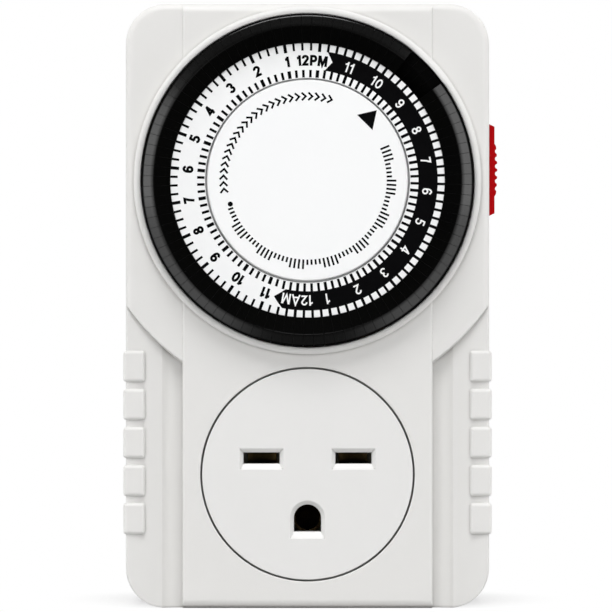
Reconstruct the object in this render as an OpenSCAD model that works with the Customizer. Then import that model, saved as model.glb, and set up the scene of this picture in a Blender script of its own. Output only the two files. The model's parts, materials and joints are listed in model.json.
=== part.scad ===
// Plug-in timer switch. Its back plugs into a wall socket, its front has an outlet, and a
// 24-hour dial with push-down segments switches that outlet on and off.
// X points right, Z up, and the front faces -Y. Y = 0 is the face against the wall, and the
// origin lies on it, midway between the two blades. A depth is a distance forward from Y = 0.
// All sizes are in millimetres.

/* [Case] */
// Distance from the dial's lip to the sides of the case
side_margin = 1.6; // [0.6:0.1:3]
// Distance from the dial's lip to the top of the case
top_margin = 0.6; // [0.2:0.1:5]
// Height of the blades above the bottom of the case
plug_height = 29.8; // [29.4:0.2:31]
// Radius of the four corners, seen from the front
corner_r = 8; // [6:0.5:9]
// Thickness of the case walls
wall = 2.2; // [1.8:0.1:2.4]
// Depth of the rear cover, from the wall face to the seam
rear_depth = 14; // [13:0.5:15]
// Depth of the front face of the centre strip
face_depth = 38; // [37:0.5:42]
// Rounding of the front outer edge
edge_r = 1.3; // [0.8:0.1:1.8]
// Rounding of the back outer edge
back_edge_r = 1; // [0.5:0.1:1.6]
// Width of the raised centre strip
strip_w = 49.6; // [48:0.2:51]
// Rise of the centre strip above the round platform
strip_rise = 0.4; // [0.2:0.1:0.8]
// Rounding of the strip's top and bottom ends
strip_end_r = 1.7; // [1.6:0.1:1.9]
// Radius of the round platform behind the dial
platform_r = 43.6; // [42:0.1:46]
// Outward lean of the platform's step, in millimetres for each millimetre of height
platform_lean = 0.14; // [0.1:0.02:0.6]
// Drop of the side wings below the platform at their outer edge
wing_drop = 0.6; // [0.3:0.1:1]
// Further fall of the wings from their outer edge to the strip
wing_fall = 1.8; // [1:0.1:2.4]
// Depth of the scoop beside the strip, below the foot of the wing
scoop_dip = 0.6; // [0.3:0.1:0.9]
// Radius of the scoop beside the strip
scoop_r = 4.6; // [3.5:0.1:6]

/* [Grips] */
// Number of grip pads on each side
grip_count = 5; // [3:1:6]
// Width of a grip pad, seen from the front
grip_w = 4.3; // [3.6:0.1:5]
// Height of a grip pad
grip_h = 6.15; // [5:0.05:6.6]
// Distance from one grip pad to the next
grip_pitch = 7.57; // [7.2:0.01:8]
// Height of the top grip pad's upper edge above the blades
grip_top = 21.3; // [20:0.1:22]
// How far the pads stand out from the side
grip_proud = 0.5; // [0.3:0.1:0.9]
// Rounding of the pads
grip_r = 0.6; // [0.3:0.1:0.9]
// Length of a pad along the side wall
grip_length = 20; // [12:0.5:20]

/* [Dial] */
// Outer radius of the segment ring
ring_r = 32.9; // [31:0.1:36]
// Width of the segment ring, in to out
segment_w = 5.7; // [5.6:0.1:6.2]
// Width of the printed hour ring, in to out
hour_w = 7.3; // [6:0.1:8]
// Width of the groove between the hour ring and the centre disc
centre_gap = 0.4; // [0.2:0.05:0.6]
// Distance from the dial's lip to the outlet's circle
lip_to_outlet = 2.5; // [0.8:0.1:6]
// Rise of the hour ring's face above the strip
hour_rise = 1.6; // [1.2:0.1:2]
// Rise of the centre disc above the hour ring
centre_rise = 0.4; // [0.2:0.1:0.8]
// Rise of a standing segment's crest above the strip
crest_rise = 4.5; // [4.2:0.1:5]
// Travel of a segment from standing to pushed down
travel = 3; // [2.6:0.1:3.2]
// Gap between one segment and the next
segment_gap = 0.08; // [0.06:0.01:0.2]
// Height of a segment's head
head_h = 4; // [3.8:0.1:4.2]
// Outward lean of the face beyond a segment's crest
face_lean = 15; // [5:1:25]
// Width of the lip around the dial
lip_w = 1.4; // [1.2:0.1:2.2]
// Rise of the lip above the strip
lip_rise = 1.6; // [1:0.1:2]
// Running gap between the dial and the lip
dial_gap = 0.2; // [0.15:0.05:0.3]
// Angle of midnight on the dial at rest, counted anticlockwise from the right
midnight_angle = -95.3; // [-95.5:0.1:-95.1]
// Hour group that stands pushed down at rest
pushed_hour = 8; // [8:1:8]

/* [Outlet] */
// Radius of the outlet face
outlet_r = 20.9; // [20.5:0.1:21.2]
// Gap around the outlet face
outlet_gap = 0.4; // [0.3:0.05:0.6]
// Drop of the outlet circle's centre below the blade slots
outlet_drop = 3.2; // [2.8:0.1:3.6]
// Distance between the two blades, centre to centre
blade_spacing = 18.26; // [18:0.02:18.6]
// Width of a blade slot
slot_w = 7.2; // [6.8:0.1:7.6]
// Height of a blade slot
slot_h = 2.24; // [2:0.02:2.6]
// Drop of the ground slot's centre below the blade slots
ground_drop = 11.91; // [11.7:0.01:12.1]
// Width and height of the ground slot
ground_w = 5.4; // [5.2:0.1:5.8]
// Width of the bevel beside and above a slot
bevel_side = 0.8; // [0.5:0.05:1]
// Width of the bevel below a slot
bevel_below = 1.6; // [1:0.1:1.8]
// Depth of the bevels
bevel_depth = 1; // [0.6:0.1:1.3]

/* [Plug] */
// Width of a blade
blade_w = 6.35; // [6.1:0.05:6.5]
// Thickness of a blade
blade_t = 1.52; // [1.4:0.02:1.6]
// Length of a blade from the wall face
blade_length = 17.5; // [15.8:0.1:18.2]
// Radius of the ground pin
pin_r = 2.38; // [2.3:0.01:2.4]
// Length of the ground pin from the wall face
pin_length = 21; // [19:0.1:22]

/* [Movement] */
// Thickness of the movement's frame plate
plate_t = 2; // [1.6:0.1:2.2]
// Radius of the dial's fixed post
post_r = 3; // [2.6:0.1:3.2]
// Gear module of the dial gear and its pinion
dial_module = 0.6; // [0.6:0.01:0.61]
// Teeth on the dial gear
dial_teeth = 60; // [60:1:60]
// Gear module of the reduction wheels
train_module = 0.5; // [0.48:0.01:0.5]
// Teeth on each reduction wheel
wheel_teeth = 36; // [34:1:36]
// Teeth on each pinion
pinion_teeth = 12; // [12:1:12]
// Backlash of the gears
backlash = 0.15; // [0.12:0.01:0.2]
// Radius of the timing motor's can
motor_r = 18; // [17:0.1:18.5]
// Room for the leads between the motor's can and the brass strips behind it
lead_room = 3.9; // [3:0.1:4.5]

/* [Switch] */
// Length of the override knob
knob_length = 18.6; // [17:0.1:19]
// How far the knob stands out from the side
knob_proud = 2; // [1.4:0.1:2.2]
// Width of the knob, front to back
knob_w = 7.6; // [6.6:0.2:7.8]
// Travel of the knob, downward from rest
knob_travel = 4; // [3:0.5:4.5]
// Height of the knob's centre above the dial's centre
knob_height = 2.4; // [1:0.1:2.4]
// Number of ribs on the knob
rib_count = 7; // [5:1:8]
// Distance from rib to rib
rib_pitch = 1.5; // [1.2:0.05:1.5]
// Thickness of the sheet brass strips
brass_t = 0.8; // [0.6:0.1:1]

/* [Fasteners] */
// Radius of the case screws' shanks
screw_r = 1.3; // [1.2:0.05:1.5]
// Radius of the case screws' heads
head_r = 2.6; // [2.3:0.1:2.8]
// Clearance of a screw in its hole, and of small parts beside each other
clear = 0.1; // [0.1:0.01:0.14]

/* [Hidden] */
$fn = 96;
eps = 1;                                  // overrun of a cut past its face

// The dial above the outlet, and the case round both
well_r = ring_r + dial_gap;
lip_r = well_r + lip_w;
hour_r = ring_r - segment_w;
centre_r = hour_r - hour_w;
outlet_z = -outlet_drop;
dial_height = outlet_z + outlet_r + outlet_gap + lip_to_outlet + lip_r;
case_w = 2 * (lip_r + side_margin);

// Heights and depths of the case
case_bottom = -plug_height;
case_top = dial_height + lip_r + top_margin;
case_h = case_top - case_bottom;
case_mid = (case_top + case_bottom) / 2;
inner_w = case_w - 2 * wall;
inner_h = case_h - 2 * wall;
platform_depth = face_depth - strip_rise;
wing_out = platform_depth - wing_drop;    // wing surface at the outer edge
wing_foot = wing_out - wing_fall;         // wing surface at the strip
wing_low = wing_foot - scoop_dip;         // lowest line of the scoop
lip_top = face_depth + lip_rise;
lip_arris = 0.2;                          // rounding of the lip's inner edge
lip_round = 0.6 * lip_w;                  // and of its outer shoulder
cavity_depth = wing_low - wall;           // how far the hollow reaches under the wings
deep_cavity = platform_depth - wall;      // and under the platform and the strip
tongue_t = 1.2;                           // locating tongue inside the seam
tongue_h = 2;
label_w = 36;                             // bare label recess on the back
label_h = 24;
label_dip = 0.4;

// Dial stack, from the front back
hour_face = face_depth + hour_rise;
crest = face_depth + crest_rise;
centre_face = hour_face + centre_rise;
head_foot = crest - head_h;               // back of a standing head
flange_t = 1.6;
flange_front = head_foot - travel - 0.3;
flange_back = flange_front - flange_t;
lug_h = 0.5;                              // catch at the stem's tip
tip_up = flange_back - lug_h - clear;     // stem tip of a standing segment
tip_down = tip_up - travel;
centre_t = 1.7;
recess = centre_face - centre_t - 2 * clear - 0.2;
web_t = 1.8;
web_back = recess - web_t;

// Segments: four to the hour, named by the time at which a group of four starts
hours = 24;
per_hour = 4;
segment_count = hours * per_hour;
pitch_angle = 360 / segment_count;
head_in = hour_r + 0.15;
crest_at = ring_r - 2.3;                  // radius of a segment's crest
stem_mid = ring_r - 2.9;                  // middle radius of the stems
stem_l = 2;                               // radial length of a stem
stem_w = 1.1;
lug_out = 0.4;
function segment_angle(quarter) = midnight_angle + pitch_angle * (quarter + 0.5);
pointer_angle = segment_angle(pushed_hour * per_hour + 5);
function segment_name(hour) = str("segments_", hour < 10 ? "0" : "", hour, "45");

// Movement, from the plate forward
stem_room = 2.8;                          // from a pushed segment's stem to the plate
plate_front = tip_down - stem_room;
plate_back = plate_front - plate_t;
wheel_t = 0.8;
low_wheel = plate_front + 0.2;            // back of the first wheel
high_wheel = low_wheel + wheel_t + 0.2;   // back of the clutch wheel
gear_back = tip_up - 2.4;                 // back of the dial gear
gear_t = 2.4;
gear_front = gear_back + gear_t;
output_back = high_wheel + wheel_t + 0.2; // back of the output pinion
hub_r = 6.4;
hub_back = gear_back - 0.2;
plate_w = inner_w - 3.6;
plate_h = 51.6;
boss_x = plate_w / 2 - 2.8;
boss_z = plate_h / 2 - 2.5;
boss_r = 2.3;
tooth_tip = 0.8;                          // addendum, in modules
tooth_root = 1.25;                        // dedendum, in modules
pressure = 20;
dial_gear_r = dial_module * dial_teeth / 2;
output_dist = dial_module * (dial_teeth + pinion_teeth) / 2;
train_dist = train_module * (wheel_teeth + pinion_teeth) / 2;
clutch_at = [-output_dist, 0];            // places from the dial's centre
first_dir = -50;
first_at = clutch_at + train_dist * [cos(first_dir), sin(first_dir)];
motor_dir = -20;
motor_pin_at = first_at + train_dist * [cos(motor_dir), sin(motor_dir)];
motor_at = [-11, 0];
lug_reach = 2.4;                          // the can's two lugs, from its wall to their screws
arbor_r = 0.6;
can_t = 0.8;
lug_t = 1;
lug_w = 5.2;

// Follower lever and contacts
lever_x = stem_mid * cos(pointer_angle);
nose_z = dial_height + stem_mid * sin(pointer_angle);
pivot_z = dial_height + 2.9;
pivot_depth = plate_front + 1.3;
pivot_r = 0.7;
lever_w = 2.4;
nose_w = 1.1;
tail_end = plate_back - 4;
leaf_t = 0.3;
leaf_z = pivot_z - 3;                     // upper face of the contact leaf
leaf_back = tail_end - 1;
leaf_w = 4;
leaf_root = inner_w / 2 - 2.6;            // clamped end of the leaf
leaf_reach = 8;                           // from the lever to the leaf's contact
leaf_tip = lever_x - leaf_reach;
contact_gap = 0.05;                       // gap of the contacts when the leaf is pressed
fixed_reach = 4;                          // length of the fixed contact's arm
fixed_foot = 2;                           // its leg below the switch base
button_r = 1.4;
button_t = 0.8;

// Outlet and contacts
outlet_t = 4.2;
outlet_back = face_depth - outlet_t;
flange_r = strip_w / 2 - wall - 0.2;
blade_x = blade_spacing / 2;
clip_gap = 1.6;                           // free gap between a contact's leaves
clip_t = 0.6;
clip_relief = 0.25;                       // the leaves stand this much wider behind their pinch
clip_lip = 3;                             // length of the flared mouth
clip_bend = 2.5;                          // length of the bend to the pinch
clip_flare = 0.9;
clip_front = outlet_back - 0.5;
clip_length = 13;
clip_back = clip_front - clip_length;
tray_t = 2;
tray_front = clip_back - brass_t;
tray_back = tray_front - tray_t;
tray_w = 38;
tray_h = 27;
tray_rim_h = 8;
tray_post_r = 2.4;
tray_inset = 3;                           // from the tray's edges to its posts
tray_post_x = tray_w / 2 - tray_inset;
tray_post_z = tray_h / 2 - tray_inset;
blade_in = 6;                             // depth of the blades' inner ends
plug_boss = blade_in - 1.2;               // height and wall of the bosses round them
plug_boss_t = 2;
pin_collar_r = pin_r + 0.5;               // the pin is wider inside the case
feed_back = blade_in;                     // plane of the feed bar
output_bar_back = 9.5;                    // plane of the output bar
can_back = output_bar_back + brass_t + lead_room;
can_inner = plate_back - can_back - 2 * can_t;
winding_l = 0.68 * can_inner;             // the coil fills the can's back
rotor_l = 0.47 * can_inner;
rotor_gap = 1;
bar_w = 3.2;

// Case screws
screw_x = inner_w / 2 - 3.3;
screw_z_low = case_bottom + wall + 3.2;
screw_z_high = case_top - wall - 3.2;
column_r = 3.4;
screw_seat = 8;                           // depth of the screw heads' seat
screw_length = 17;
screw_head_h = 1.8;
small_r = screw_r - 0.3;                    // the movement's small screws
small_head_r = 1.9;
small_head_h = 1.2;
bite = 4;                                 // how far they reach into the bosses
root = 0.1;                               // how far a column runs into what it stands on

// Override knob
knob_z = dial_height + knob_height;
knob_mid = (rear_depth + tongue_h + plate_back) / 2 - 0.1;
knob_stem_h = 8;
knob_stem_w = 4.6;
slide_t = 1.8;
slide_w = plate_back - rear_depth - tongue_h - 0.8;
slide_h = knob_stem_h + 2 * knob_travel;

// ---------------------------------------------------------------- helpers

// Draws a shape of (x, z) from one depth to another
module forward(from, to) translate([0, -from, 0]) rotate([90, 0, 0])
    linear_extrude(to - from) children();

// Draws a shape of (x, depth) upward from z0 to z1
module upright(z0, z1) translate([0, 0, z0]) linear_extrude(z1 - z0) mirror([0, 1]) children();

// Draws a shape of (depth, z) across, centred on X = 0
module across(width) rotate([90, 0, -90]) linear_extrude(width, center = true) children();

// Spins a profile of (radius, depth) about an axis that points forward
module turned(angle = 360) rotate([90, 0, 0]) rotate_extrude(angle = angle) children();

// A round bar that points forward, from one depth to another
module rod(r, from, to) translate([0, -from, 0]) rotate([90, 0, 0]) cylinder(r = r, h = to - from);

// Moves to a place (x, z), or to one counted from the dial's centre
module at(p) translate([p[0], 0, p[1]]) children();
module on_dial(p = [0, 0]) translate([p[0], 0, dial_height + p[1]]) children();

// A rectangle between two corners
module span(low, high) translate(low) square(high - low);

// A rectangle with round corners, centred
module rounded(w, h, r) {
    square([w - 2 * r, h], center = true);
    square([w, h - 2 * r], center = true);
    for (x = [-1, 1], y = [-1, 1]) translate([x * (w / 2 - r), y * (h / 2 - r)]) circle(r);
}

// Half profile (radius, depth) of a slab whose front edge is rounded
module edge_profile(r, edge, from, to) {
    span([0, from], [r - edge, to]);
    span([0, from], [r, to - edge]);
    translate([r - edge, to - edge]) circle(edge);
}

// A slab with round corners and a rounded front edge, built face to face
module slab(w, h, r, edge, from, to) {
    forward(from, to) square([w - 2 * r, h - 2 * r], center = true);
    for (x = [0, 1]) mirror([x, 0, 0]) {
        translate([w / 2 - r, 0, 0]) upright(r - h / 2, h / 2 - r) edge_profile(r, edge, from, to);
        for (z = [0, 1]) mirror([0, 0, z]) at([w / 2 - r, h / 2 - r]) turned(90)
            edge_profile(r, edge, from, to);
    }
    for (z = [0, 1]) mirror([0, 0, z]) translate([0, 0, h / 2 - r]) across(w - 2 * r)
        mirror([1, -1]) edge_profile(r, edge, from, to);
}

// A tapered mouth: w by h at the face, narrowing by the bevels over their depth
module mouth(w, h, side, above, below, from, to) {
    over = 0.5;
    grow = over / (to - from);
    intersection() {
        upright(-h, h) polygon([[-w / 2, from], [w / 2, from],
            [w / 2 + side * (1 + grow), to + over], [-w / 2 - side * (1 + grow), to + over]]);
        across(2 * w) polygon([[from, -h / 2], [from, h / 2],
            [to + over, h / 2 + above * (1 + grow)], [to + over, -h / 2 - below * (1 + grow)]]);
    }
}

// Involute outline of a gear, one tooth centred on the X axis
function involute(a) = tan(a) * 180 / PI - a;
function tooth_half(teeth, size, r) = 90 / teeth
    - backlash / (size * teeth) * 180 / PI / 2 + involute(pressure)
    - involute(acos(min(1, size * teeth / 2 * cos(pressure) / r)));
function flank(teeth, size) = let (
        base = size * teeth / 2 * cos(pressure),
        root = size * (teeth / 2 - tooth_root),
        tip = size * (teeth / 2 + tooth_tip),
        start = max(base, root))
    concat(root < base ? [[root, tooth_half(teeth, size, base)]] : [],
        [for (t = [0, 0.5, 1]) let (r = start + t * (tip - start)) [r, tooth_half(teeth, size, r)]]);
function gear_points(teeth, size) = let (side = flank(teeth, size), last = len(side) - 1)
    [for (k = [0 : teeth - 1], s = [-1, 1], i = [0 : last])
        let (p = side[s < 0 ? i : last - i], a = 360 / teeth * k + s * p[1])
        p[0] * [cos(a), sin(a)]];
module gear(teeth, size, turn, bore, from, to) forward(from, to) difference() {
    rotate(turn) polygon(gear_points(teeth, size));
    circle(bore);
}

// Turn of a gear that meshes with another, whose turn is known, in direction dir from it
function mesh(teeth, other_teeth, other_turn, dir) =
    dir + 180 - 360 / teeth * (0.5 - other_teeth * (dir - other_turn) / 360);
dial_gear_turn = 0;
output_turn = mesh(pinion_teeth, dial_teeth, dial_gear_turn, 180);
clutch_turn = 0;
first_pinion_turn = mesh(pinion_teeth, wheel_teeth, clutch_turn, first_dir);
first_wheel_turn = 0;
motor_turn = mesh(pinion_teeth, wheel_teeth, first_wheel_turn, motor_dir);

// Places of the screws
module at_case_screws() for (x = [-1, 1], z = [screw_z_low, screw_z_high]) at([x * screw_x, z])
    children();
module at_motor_lugs(reach) for (z = [-1, 1])
    on_dial(motor_at + [0, z * (motor_r + reach)]) children();
module at_bosses() for (x = [-1, 1], z = [-1, 1]) on_dial([x * boss_x, z * boss_z]) children();

// ---------------------------------------------------------------- case

// Cross-section (x, depth) of what is cut away above the right wing
module wing_section() {
    far = case_w / 2 + eps;
    slope = wing_fall / ((case_w - strip_w) / 2);
    polygon([[strip_w / 2, face_depth + eps], [strip_w / 2, wing_foot],
        [far, wing_out + eps * slope], [far, face_depth + eps]]);
    intersection() {
        translate([strip_w / 2 + 1, wing_low + scoop_r]) circle(scoop_r);
        span([strip_w / 2, wing_low - eps], [far, face_depth + eps]);
    }
}

// Both wings' cuts, which stop at the leaning step of the round platform
module wing_cuts() difference() {
    for (x = [0, 1]) mirror([x, 0, 0]) upright(case_bottom - eps, dial_height) wing_section();
    step_low = wing_low - eps;
    on_dial() translate([0, -step_low, 0]) rotate([90, 0, 0]) cylinder(
        h = platform_depth - step_low + 2 * eps,
        r1 = platform_r + platform_lean * (platform_depth - step_low),
        r2 = platform_r - platform_lean * 2 * eps);
}

// The raised centre strip, with rounded ends and shoulders
module strip() intersection() {
    shoulder = min(strip_rise, 0.4);
    upright(case_bottom - eps, case_top + eps) {
        span([-strip_w / 2, cavity_depth], [strip_w / 2, face_depth - shoulder]);
        span([shoulder - strip_w / 2, cavity_depth], [strip_w / 2 - shoulder, face_depth]);
        for (x = [-1, 1]) translate([x * (strip_w / 2 - shoulder), face_depth - shoulder])
            circle(shoulder);
    }
    across(case_w) {
        span([cavity_depth, case_bottom], [face_depth - strip_end_r, case_top]);
        span([cavity_depth, case_bottom + strip_end_r], [face_depth, case_top - strip_end_r]);
        for (z = [case_bottom + strip_end_r, case_top - strip_end_r])
            translate([face_depth - strip_end_r, z]) circle(strip_end_r);
    }
}

// The grip pads of the right side, rounded on every edge that shows
module grips() {
    out = case_w / 2 + grip_proud;
    top = wing_out + 0.4;
    back = top - grip_length;
    intersection() {
        upright(case_bottom, grip_top + eps) translate([out - grip_w / 2, (top + back) / 2])
            rounded(grip_w, grip_length, grip_r);
        union() for (i = [0 : grip_count - 1]) translate([0, 0, grip_top - grip_h / 2 - i * grip_pitch])
            intersection() {
                across(4 * case_w) translate([(top + back) / 2, 0]) rounded(grip_length, grip_h, grip_r);
                forward(back - eps, top + eps) translate([out - grip_w / 2, 0])
                    rounded(grip_w, grip_h, grip_r);
            }
    }
}

// The inner outline of the case, and where the hollow goes deeper
module inner_outline(less = 0) translate([0, case_mid])
    rounded(inner_w - 2 * less, inner_h - 2 * less, corner_r - wall - less);
module deep_outline() difference() {
    intersection() {
        inner_outline();
        union() {
            span([-case_w, dial_height], [case_w, case_top]);
            span([wall - strip_w / 2, case_bottom], [strip_w / 2 - wall, case_top]);
        }
    }
    translate([0, dial_height]) circle(lip_r);
}

module front_case() color("gainsboro") {
    difference() {
        union() {
            difference() {
                translate([0, 0, case_mid])
                    slab(case_w, case_h, corner_r, edge_r, rear_depth, platform_depth);
                wing_cuts();
            }
            strip();
            on_dial() turned() {
                span([well_r - wall, platform_depth - wall], [lip_r, lip_top - lip_round]);
                span([well_r, lip_top - lip_w], [lip_r - lip_round, lip_top - lip_arris]);
                span([well_r + lip_arris, lip_top - lip_w], [lip_r - lip_round, lip_top]);
                translate([lip_r - lip_round, lip_top - lip_round]) circle(lip_round);
                translate([well_r + lip_arris, lip_top - lip_arris]) circle(lip_arris);
            }
            for (x = [0, 1]) mirror([x, 0, 0]) grips();
        }
        forward(rear_depth - eps, cavity_depth) inner_outline();
        forward(cavity_depth - eps, deep_cavity) deep_outline();
        on_dial() rod(well_r, rear_depth, lip_top - lip_arris);
        at([0, outlet_z]) rod(outlet_r + outlet_gap, cavity_depth - eps, face_depth + eps);
        // window for the override knob's stem
        translate([case_w / 2 - wall / 2, -knob_mid, knob_z - knob_travel / 2])
            cube([3 * wall, knob_stem_w + 4 * clear, knob_stem_h + knob_travel + 4 * clear],
                center = true);
    }
    // columns for the case screws
    difference() {
        for (x = [-1, 1]) {
            at([x * screw_x, screw_z_low]) rod(column_r, rear_depth, cavity_depth + root);
            at([x * screw_x, screw_z_high]) rod(column_r, rear_depth, deep_cavity + root);
        }
        at_case_screws() rod(screw_r + clear, rear_depth - eps, screw_seat + screw_length + eps);
    }
    // bosses that carry the movement
    difference() {
        for (x = [-1, 1]) {
            on_dial([x * boss_x, -boss_z]) rod(boss_r, plate_front, cavity_depth + root);
            on_dial([x * boss_x, boss_z]) rod(boss_r, plate_front, deep_cavity + root);
        }
        at_bosses() rod(small_r + clear, plate_front - eps, plate_front + bite + 0.5);
    }
}

module rear_case() color("gainsboro") difference() {
    union() {
        difference() {
            mirror([0, 1, 0]) translate([0, 0, case_mid])
                slab(case_w, case_h, corner_r, back_edge_r, -rear_depth, 0);
            forward(wall, rear_depth + eps) inner_outline();
        }
        // locating tongue inside the seam
        difference() {
            forward(rear_depth - 3, rear_depth + tongue_h) inner_outline(clear + 0.05);
            forward(rear_depth - 4, rear_depth + tongue_h + eps) inner_outline(clear + tongue_t);
            at_case_screws() rod(column_r + 0.3, rear_depth, rear_depth + tongue_h + eps);
        }
        // screw columns, the blades' bosses and the tray's posts
        intersection() {
            at_case_screws() rod(column_r + 0.8, wall / 2, rear_depth);
            forward(0, rear_depth) inner_outline(-0.4);
        }
        for (x = [-1, 1]) at([x * blade_x, 0]) forward(wall - root, plug_boss)
            rounded(blade_w + 2 * plug_boss_t, blade_t + 2 * plug_boss_t, 1);
        at([0, -ground_drop]) rod(pin_collar_r + plug_boss_t, wall - root, plug_boss);
        for (x = [-1, 1], z = [-1, 1]) at([x * tray_post_x, outlet_z + z * tray_post_z])
            rod(tray_post_r, wall - root, tray_back);
    }
    at_case_screws() rod(head_r + 0.3, -eps, screw_seat);
    at_case_screws() rod(screw_r + clear, screw_seat - eps, rear_depth + eps);
    for (x = [-1, 1]) at([x * blade_x, 0]) forward(-eps, rear_depth)
        square([blade_w + 2 * clear, blade_t + 2 * clear], center = true);
    at([0, -ground_drop]) rod(pin_collar_r + clear, -eps, rear_depth);
    forward(-eps, label_dip) translate([0, dial_height - 4]) rounded(label_w, label_h, 2);
}

module case_screws() color("silver") at_case_screws() difference() {
    union() {
        rod(head_r, screw_seat - screw_head_h, screw_seat);
        rod(screw_r, screw_seat, screw_seat + screw_length);
    }
    // cross recess
    for (a = [0, 90]) rotate([0, a, 0]) translate([0, -screw_seat + screw_head_h, 0])
        cube([head_r * 1.1, 2, 0.6], center = true);
}

// ---------------------------------------------------------------- outlet

module slot_hole() forward(0, face_depth + eps) square([slot_w, slot_h], center = true);
// The ground slot is as high as it is wide, round above and flat below
module ground_outline(grow = 0, below = 0) {
    circle(ground_w / 2 + grow);
    span([-ground_w / 2 - grow, -ground_w / 2 - below], [ground_w / 2 + grow, 0]);
}

module outlet_face() color("whitesmoke") difference() {
    union() {
        at([0, outlet_z]) rod(outlet_r, outlet_back, face_depth);
        at([0, outlet_z]) rod(flange_r, outlet_back, deep_cavity);
    }
    bevel_back = face_depth - bevel_depth;
    for (x = [-1, 1]) at([x * blade_x, 0]) {
        slot_hole();
        mouth(slot_w, slot_h, bevel_side, bevel_side, bevel_below, bevel_back, face_depth);
    }
    at([0, -ground_drop]) {
        forward(outlet_back - eps, face_depth + eps) ground_outline();
        grow = 0.5 / bevel_depth;
        translate([0, -bevel_back, 0]) rotate([90, 0, 0]) cylinder(h = bevel_depth + 0.5,
            r1 = ground_w / 2, r2 = ground_w / 2 + bevel_side * (1 + grow));
        translate([0, 0, -ground_w / 4])
            mouth(ground_w, ground_w / 2, bevel_side, 0, bevel_below, bevel_back, face_depth);
    }
}

// A female clip of two leaves, for a flat blade, with a tail that reaches back
module blade_clip(tail_back) {
    leaf_width = blade_w - 0.6;
    pinch = clip_front - clip_lip;
    low = clip_gap / 2;
    for (z = [0, 1]) mirror([0, 0, z]) across(leaf_width) {
        span([clip_back, low + clip_relief], [pinch, low + clip_relief + clip_t]);
        polygon([[pinch - clip_bend, low + clip_relief], [pinch, low],
            [clip_front, low + clip_flare], [clip_front, low + clip_flare + clip_t],
            [pinch, low + clip_t], [pinch - clip_bend, low + clip_relief + clip_t]]);
    }
    forward(clip_back - brass_t, clip_back)
        square([leaf_width, 2 * (low + clip_relief + clip_t)], center = true);
    forward(tail_back, clip_back - brass_t) square([bar_w, brass_t], center = true);
}

module left_contact() color("goldenrod") at([-blade_x, 0]) blade_clip(output_bar_back + brass_t);
module right_contact() color("goldenrod") at([blade_x, 0]) blade_clip(blade_in);

slit_w = 0.8;                             // slit that lets the ground contact spring
slit_root = 3;                            // its distance from the contact's back
slit_reach = 1.5;                         // how far it passes the pin's wall
module ground_contact() color("goldenrod") at([0, -ground_drop]) {
    difference() {
        rod(pin_r + 0.7, clip_back, clip_front);
        rod(pin_r + 0.05, clip_back + brass_t, clip_front + eps);
        forward(clip_back + slit_root, clip_front + eps)
            square([slit_w, 2 * (pin_r + slit_reach)], center = true);
    }
    rod(1.6, blade_in, clip_back);
}

module contact_tray() color("ivory") difference() {
    at([0, outlet_z]) union() {
        forward(tray_back, tray_front) rounded(tray_w, tray_h, 2);
        // a rim and partitions that keep the clips apart
        forward(tray_front, tray_front + tray_rim_h) difference() {
            rounded(tray_w, tray_h, 2);
            rounded(tray_w - 2.4, tray_h - 2.4, 0.8);
        }
        forward(tray_front, tray_front + tray_rim_h) span([-0.6, 0], [0.6, tray_h / 2]);
    }
    for (x = [-1, 1]) at([x * blade_x, 0]) forward(tray_back - eps, tray_front + eps)
        square([bar_w + 2 * clear, brass_t + 2 * clear], center = true);
    at([0, -ground_drop]) rod(1.6 + clear, tray_back - eps, tray_front + eps);
}

// ---------------------------------------------------------------- plug

// A flat blade whose tip is bevelled on all four sides
module blade() intersection() {
    tip = -blade_length;
    bevel_start = tip + 1.5;
    upright(-blade_t, blade_t) polygon([[-blade_w / 2, blade_in], [blade_w / 2, blade_in],
        [blade_w / 2, bevel_start], [blade_w / 2 - 1, tip], [1 - blade_w / 2, tip],
        [-blade_w / 2, bevel_start]]);
    across(2 * blade_w) polygon([[blade_in, -blade_t / 2], [blade_in, blade_t / 2],
        [bevel_start, blade_t / 2], [tip, blade_t / 6], [tip, -blade_t / 6],
        [bevel_start, -blade_t / 2]]);
}

module left_blade() color("silver") at([-blade_x, 0]) blade();
module right_blade() color("silver") at([blade_x, 0]) blade();

// The ground pin, round at its tip and wider from the wall face inwards
module ground_pin() color("silver") at([0, -ground_drop]) turned() {
    span([0, pin_r - pin_length], [pin_r, root]);
    span([0, 0], [pin_collar_r, blade_in]);
    intersection() {
        translate([0, pin_r - pin_length]) circle(pin_r);
        span([0, -pin_length], [pin_r, pin_r - pin_length]);
    }
}

// ---------------------------------------------------------------- dial

module time_dial() color("white") difference() {
    on_dial() turned() polygon([[post_r + 0.08, hub_back], [hub_r, hub_back],
        [hub_r, gear_front], [hub_r + 2.6, gear_front], [hub_r + 2.6, web_back],
        [hour_r - 1.7, web_back], [hour_r - 1.7, flange_back], [well_r - 0.4, flange_back],
        [well_r - 0.4, flange_front], [hour_r, flange_front], [hour_r, hour_face],
        [centre_r + centre_gap, hour_face], [centre_r + centre_gap, recess],
        [post_r + 0.08, recess]]);
    // one slot for each segment's stem
    on_dial() for (i = [0 : segment_count - 1]) rotate([0, -segment_angle(i), 0])
        translate([stem_mid, -(flange_front + flange_back) / 2, 0])
            cube([stem_l + 2 * clear, flange_t + 1, stem_w + 2 * clear], center = true);
}

// A segment's head profile (radius, depth), standing: a slope up to the crest, a face that
// leans outward from it, and a rounded shoulder
module head_profile() {
    shoulder_r = 0.6;
    face_end = ring_r - shoulder_r;
    face_drop = (face_end - crest_at) * tan(face_lean);
    shoulder_depth = crest - face_drop - shoulder_r;
    polygon(concat(
        [[head_in, head_foot], [head_in, hour_face + 0.5]],
        [[crest_at - 0.3, crest - 0.12], [crest_at, crest]],
        [for (a = [90 - face_lean : -15 : 0])
            [face_end + shoulder_r * cos(a), shoulder_depth + shoulder_r * sin(a)]],
        [[ring_r, head_foot]]));
}

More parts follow.
